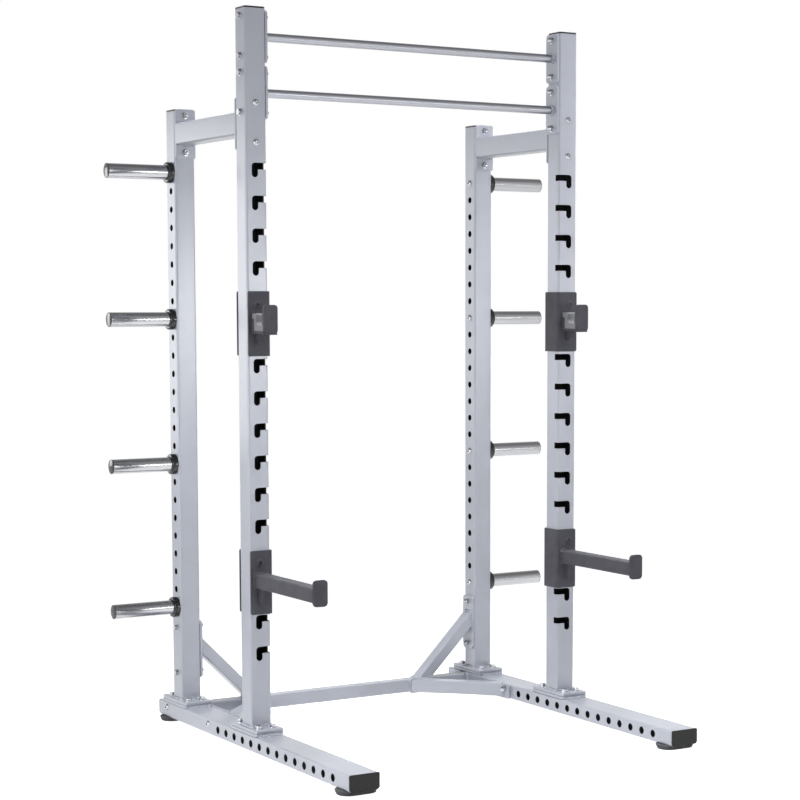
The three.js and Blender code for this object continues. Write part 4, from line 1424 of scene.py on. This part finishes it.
class RACK_OT_fasteners(bpy.types.Operator):
    """Bolts, nuts and washers that hold the frame together"""

    bl_idname = "rack.fasteners"
    bl_label = "Fasteners"

    def execute(self, context):
        scene = context.scene
        uprights, base, top = scene.rack_uprights, scene.rack_base, scene.rack_top
        joining = scene.rack_joining
        bolt, cross_bolt, rise = joining.bolt, joining.cross_bolt, joining.plate_bolt_rise
        on_washer = WASHER_SHARE * bolt
        button, plain_nut = button_head(bolt, on_washer), nut(bolt, on_washer)
        hex_stack = (washer(bolt), hex_head(bolt, on_washer))
        half = uprights.size / 2
        fore, back = middle("front_upright_right"), middle("rear_upright_right")

        low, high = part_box("side_arm_right")
        heights = [(low.z + high.z) / 2 + offset for offset in (-rise, rise)]
        shells = []
        for y, direction, profile in (
            (fore.y - half, -1, button),
            (low.y + top.arm_plate, 1, plain_nut),
            (high.y - top.arm_plate, -1, plain_nut),
            (back.y + half, 1, button),
        ):
            places = [(fore.x, y, z) for z in heights]
            shells += fasten("y", direction, places, washer(bolt), profile)
        add_pair("side_arm_bolts", shells, "zinc_plated_steel")

        for name in ("upper", "lower"):
            low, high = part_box(f"pull_up_bar_{name}")
            rows = [(fore.y, (low.z + high.z) / 2 + offset) for offset in (-rise, rise)]
            shells = through_bolts(bolt, high.x - top.bar_plate, fore.x + half, rows, *hex_stack)
            add_pair(f"pull_up_bolts_{name}", shells, "zinc_plated_steel")

        side, reach = joining.seat_bolt_side, joining.seat_bolt_reach
        for name, centre in (("front", fore), ("rear", back)):
            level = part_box(f"{name}_upright_right")[0].z + uprights.plate
            places = [(centre.x + x, centre.y + y, level) for x in (-side, side) for y in (-reach, reach)]
            add_pair(f"{name}_seat_bolts", fasten("z", 1, places, *hex_stack), "zinc_plated_steel")

        low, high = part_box("rear_crossmember")
        inset = joining.cross_bolt_inset
        rows = [(y, joining.cross_bolt_height) for y in (low.y + inset, high.y - inset)]
        rail_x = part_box("base_rail_right")[1].x
        shells = through_bolts(cross_bolt, high.x - base.plate, rail_x, rows, button_head(cross_bolt))
        add_pair("crossmember_bolts", shells, "zinc_plated_steel")

        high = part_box("brace_right")[1]
        drops = (joining.brace_bolt_upper, joining.brace_bolt_lower)
        rows = [(back.y, high.z - drop) for drop in drops]
        shells = through_bolts(bolt, high.x - base.brace_plate, back.x + half, rows, *hex_stack)
        add_pair("brace_bolts", shells, "zinc_plated_steel")

        numbers = range(1, scene.rack_horns.count + 1)
        places = [(back.x - half, back.y, middle(f"plate_horn_{number}_right").z) for number in numbers]
        shells = fasten("x", -1, places, washer(bolt), button)
        add_pair("horn_bolts", shells, "zinc_plated_steel")
        return {"FINISHED"}


# Stage


class RACK_OT_stage(bpy.types.Operator):
    """Pale floor, white surroundings, soft lights and the camera"""

    bl_idname = "rack.stage"
    bl_label = "Stage"

    def execute(self, context):
        scene = context.scene
        scene.view_settings.view_transform = "Standard"
        self.floor(scene)
        self.surroundings(scene)
        self.lights(scene)
        self.camera(scene)
        return {"FINISHED"}

    def seen(self, tree):
        """1 for rays by which the camera and shiny or clear pieces see, 0 for rays that only light."""
        path = add_node(tree, "LightPath")
        either = {0: path.outputs["Is Camera Ray"], 1: path.outputs["Is Glossy Ray"]}
        either = add_node(tree, "Math", either, operation="MAXIMUM")
        every = {0: either.outputs["Value"], 1: path.outputs["Is Transmission Ray"]}
        return add_node(tree, "Math", every, operation="MAXIMUM").outputs["Value"]

    def floor(self, scene):
        # Painted studio floor: matt and even. What the camera and shiny pieces see of it is lifted to white
        material = bpy.data.materials.new("studio_floor_paint")
        material.use_nodes = True
        tree = material.node_tree
        tree.nodes.clear()
        paint = add_node(tree, "BsdfDiffuse", {"Color": [*scene.rack_finishes.floor, 1]})
        glow = add_node(tree, "Emission", {"Strength": spread(tree, self.seen(tree), 0.0, 0.95)})
        both = add_node(tree, "AddShader", {0: paint.outputs["BSDF"], 1: glow.outputs["Emission"]})
        add_node(tree, "OutputMaterial", {"Surface": both.outputs["Shader"]})
        half = 40.0
        corners = [(-half, -half, 0), (half, -half, 0), (half, half, 0), (-half, half, 0)]
        mesh = bpy.data.meshes.new("studio_floor")
        mesh.from_pydata(corners, [], [(0, 1, 2, 3)])
        mesh.materials.append(material)
        floor = bpy.data.objects.new("studio_floor", mesh)
        scene.collection.objects.link(floor)

    def surroundings(self, scene):
        # White to the camera. Shiny pieces see it fall from white to dark grey overhead, which gives rounded
        # metal its dark upper band. As a source of light it is a fifth as strong, so hollows stay dark
        world = bpy.data.worlds.new("studio")
        world.use_nodes = True
        tree = world.node_tree
        tree.nodes.clear()
        direction = add_node(tree, "TexCoord").outputs["Generated"]
        height = add_node(tree, "SeparateXYZ", {"Vector": direction}).outputs["Z"]
        sky = spread(tree, height, 1.0, 0.15, low_level=0.15)
        straight = add_node(tree, "LightPath").outputs["Is Camera Ray"]
        level = add_node(tree, "Math", {0: sky, 1: straight}, operation="MAXIMUM").outputs["Value"]
        strength = spread(tree, self.seen(tree), 0.22, 1.0)
        background = add_node(tree, "Background", {"Color": level, "Strength": strength})
        add_node(tree, "OutputWorld", {"Surface": background.outputs["Background"]})
        scene.world = world

    def lights(self, scene):
        # Sizes in metres, cones in degrees. A narrow cone lights one part of the rack and not the rest
        for name, place, target, size, cone, watts in (
            ("front", (2.6, -5.4, 1.35), (0, 0.2, 1.25), (2.6, 0.6), 24, 1.9),
            ("beam", (4.2, -5.2, 4.4), (0.75, 0, 2.15), (0.4, 0.4), 13, 1.2),
            ("key", (-3.4, 6.2, 1.5), (-0.3, 0.2, 1.2), (1.6, 2.0), 45, 2.4),
            ("side", (-5.0, -1.5, 1.6), (0, 0.2, 0.8), (2.0, 2.0), 180, 37),
            ("low", (-5.0, -0.6, 0.9), (0.3, 0.3, 0.5), (2.0, 1.0), 60, 7.5),
            ("high", (4.2, -5.2, 4.4), (0, 0, 1.2), (0.5, 0.5), 180, 95),
            ("top", (0.1, -0.4, 5.2), (0.1, -0.4, 0), (3.0, 3.0), 50, 48),
        ):
            data = bpy.data.lights.new(name, "AREA")
            data.shape = "RECTANGLE"
            data.size, data.size_y = size
            data.spread = math.radians(cone)
            data.energy = watts
            light = bpy.data.objects.new(name, data)
            light.location = place
            # These three would show as bright patches in the chrome
            light.visible_glossy = name not in ("beam", "high", "top")
            light.rotation_euler = (Vector(target) - Vector(place)).to_track_quat("-Z", "Y").to_euler()
            scene.collection.objects.link(light)

    def camera(self, scene):
        # Fitted to the photograph from the uprights' edges, the slots and the rear holes
        data = bpy.data.cameras.new("camera")
        data.lens = 92.3
        data.sensor_width = 36
        data.shift_x, data.shift_y = -0.075, 0.125
        data.clip_end = 200
        camera = bpy.data.objects.new("camera", data)
        camera.location = (-3.3978, -5.7366, 1.4144)
        camera.rotation_euler = (math.radians(84.48), 0, math.radians(-31.81))
        scene.collection.objects.link(camera)
        scene.camera = camera


class RACK_PT_pieces(bpy.types.Panel):
    """Lists the pieces of the rack"""

    bl_idname = "RACK_PT_pieces"
    bl_label = "Squat Rack"
    bl_space_type = "VIEW_3D"
    bl_region_type = "UI"
    bl_category = "Squat Rack"

    def draw(self, context):
        for operator in OPERATORS:
            self.layout.operator(operator.bl_idname)


GROUPS = {
    "rack_finishes": RackFinishes,
    "rack_uprights": RackUprights,
    "rack_base": RackBase,
    "rack_top": RackTop,
    "rack_horns": RackHorns,
    "rack_hooks": RackHooks,
    "rack_joining": RackJoining,
}

OPERATORS = (
    RACK_OT_finishes,
    RACK_OT_stage,
    RACK_OT_front_uprights,
    RACK_OT_rear_uprights,
    RACK_OT_upright_caps,
    RACK_OT_base_rails,
    RACK_OT_rail_inserts,
    RACK_OT_foot_pads,
    RACK_OT_crossmember,
    RACK_OT_braces,
    RACK_OT_side_arms,
    RACK_OT_pull_up_bars,
    RACK_OT_plate_horns,
    RACK_OT_bar_hooks,
    RACK_OT_hook_liners,
    RACK_OT_spotter_arms,
    RACK_OT_fasteners,
)


def register():
    for kind in (*GROUPS.values(), *OPERATORS, RACK_PT_pieces):
        bpy.utils.register_class(kind)
    for name, group in GROUPS.items():
        setattr(bpy.types.Scene, name, PointerProperty(type=group))


def unregister():
    for name in GROUPS:
        delattr(bpy.types.Scene, name)
    for kind in reversed((*GROUPS.values(), *OPERATORS, RACK_PT_pieces)):
        bpy.utils.unregister_class(kind)


def main():
    register()
    bpy.ops.rack.finishes()
    bpy.ops.rack.stage()
    bpy.ops.rack.front_uprights()
    bpy.ops.rack.rear_uprights()
    bpy.ops.rack.upright_caps()
    bpy.ops.rack.base_rails()
    bpy.ops.rack.rail_inserts()
    bpy.ops.rack.foot_pads()
    bpy.ops.rack.crossmember()
    bpy.ops.rack.braces()
    bpy.ops.rack.side_arms()
    bpy.ops.rack.pull_up_bars()
    bpy.ops.rack.plate_horns()
    bpy.ops.rack.bar_hooks()
    bpy.ops.rack.hook_liners()
    bpy.ops.rack.spotter_arms()
    bpy.ops.rack.fasteners()


if __name__ == "__main__":
    main()
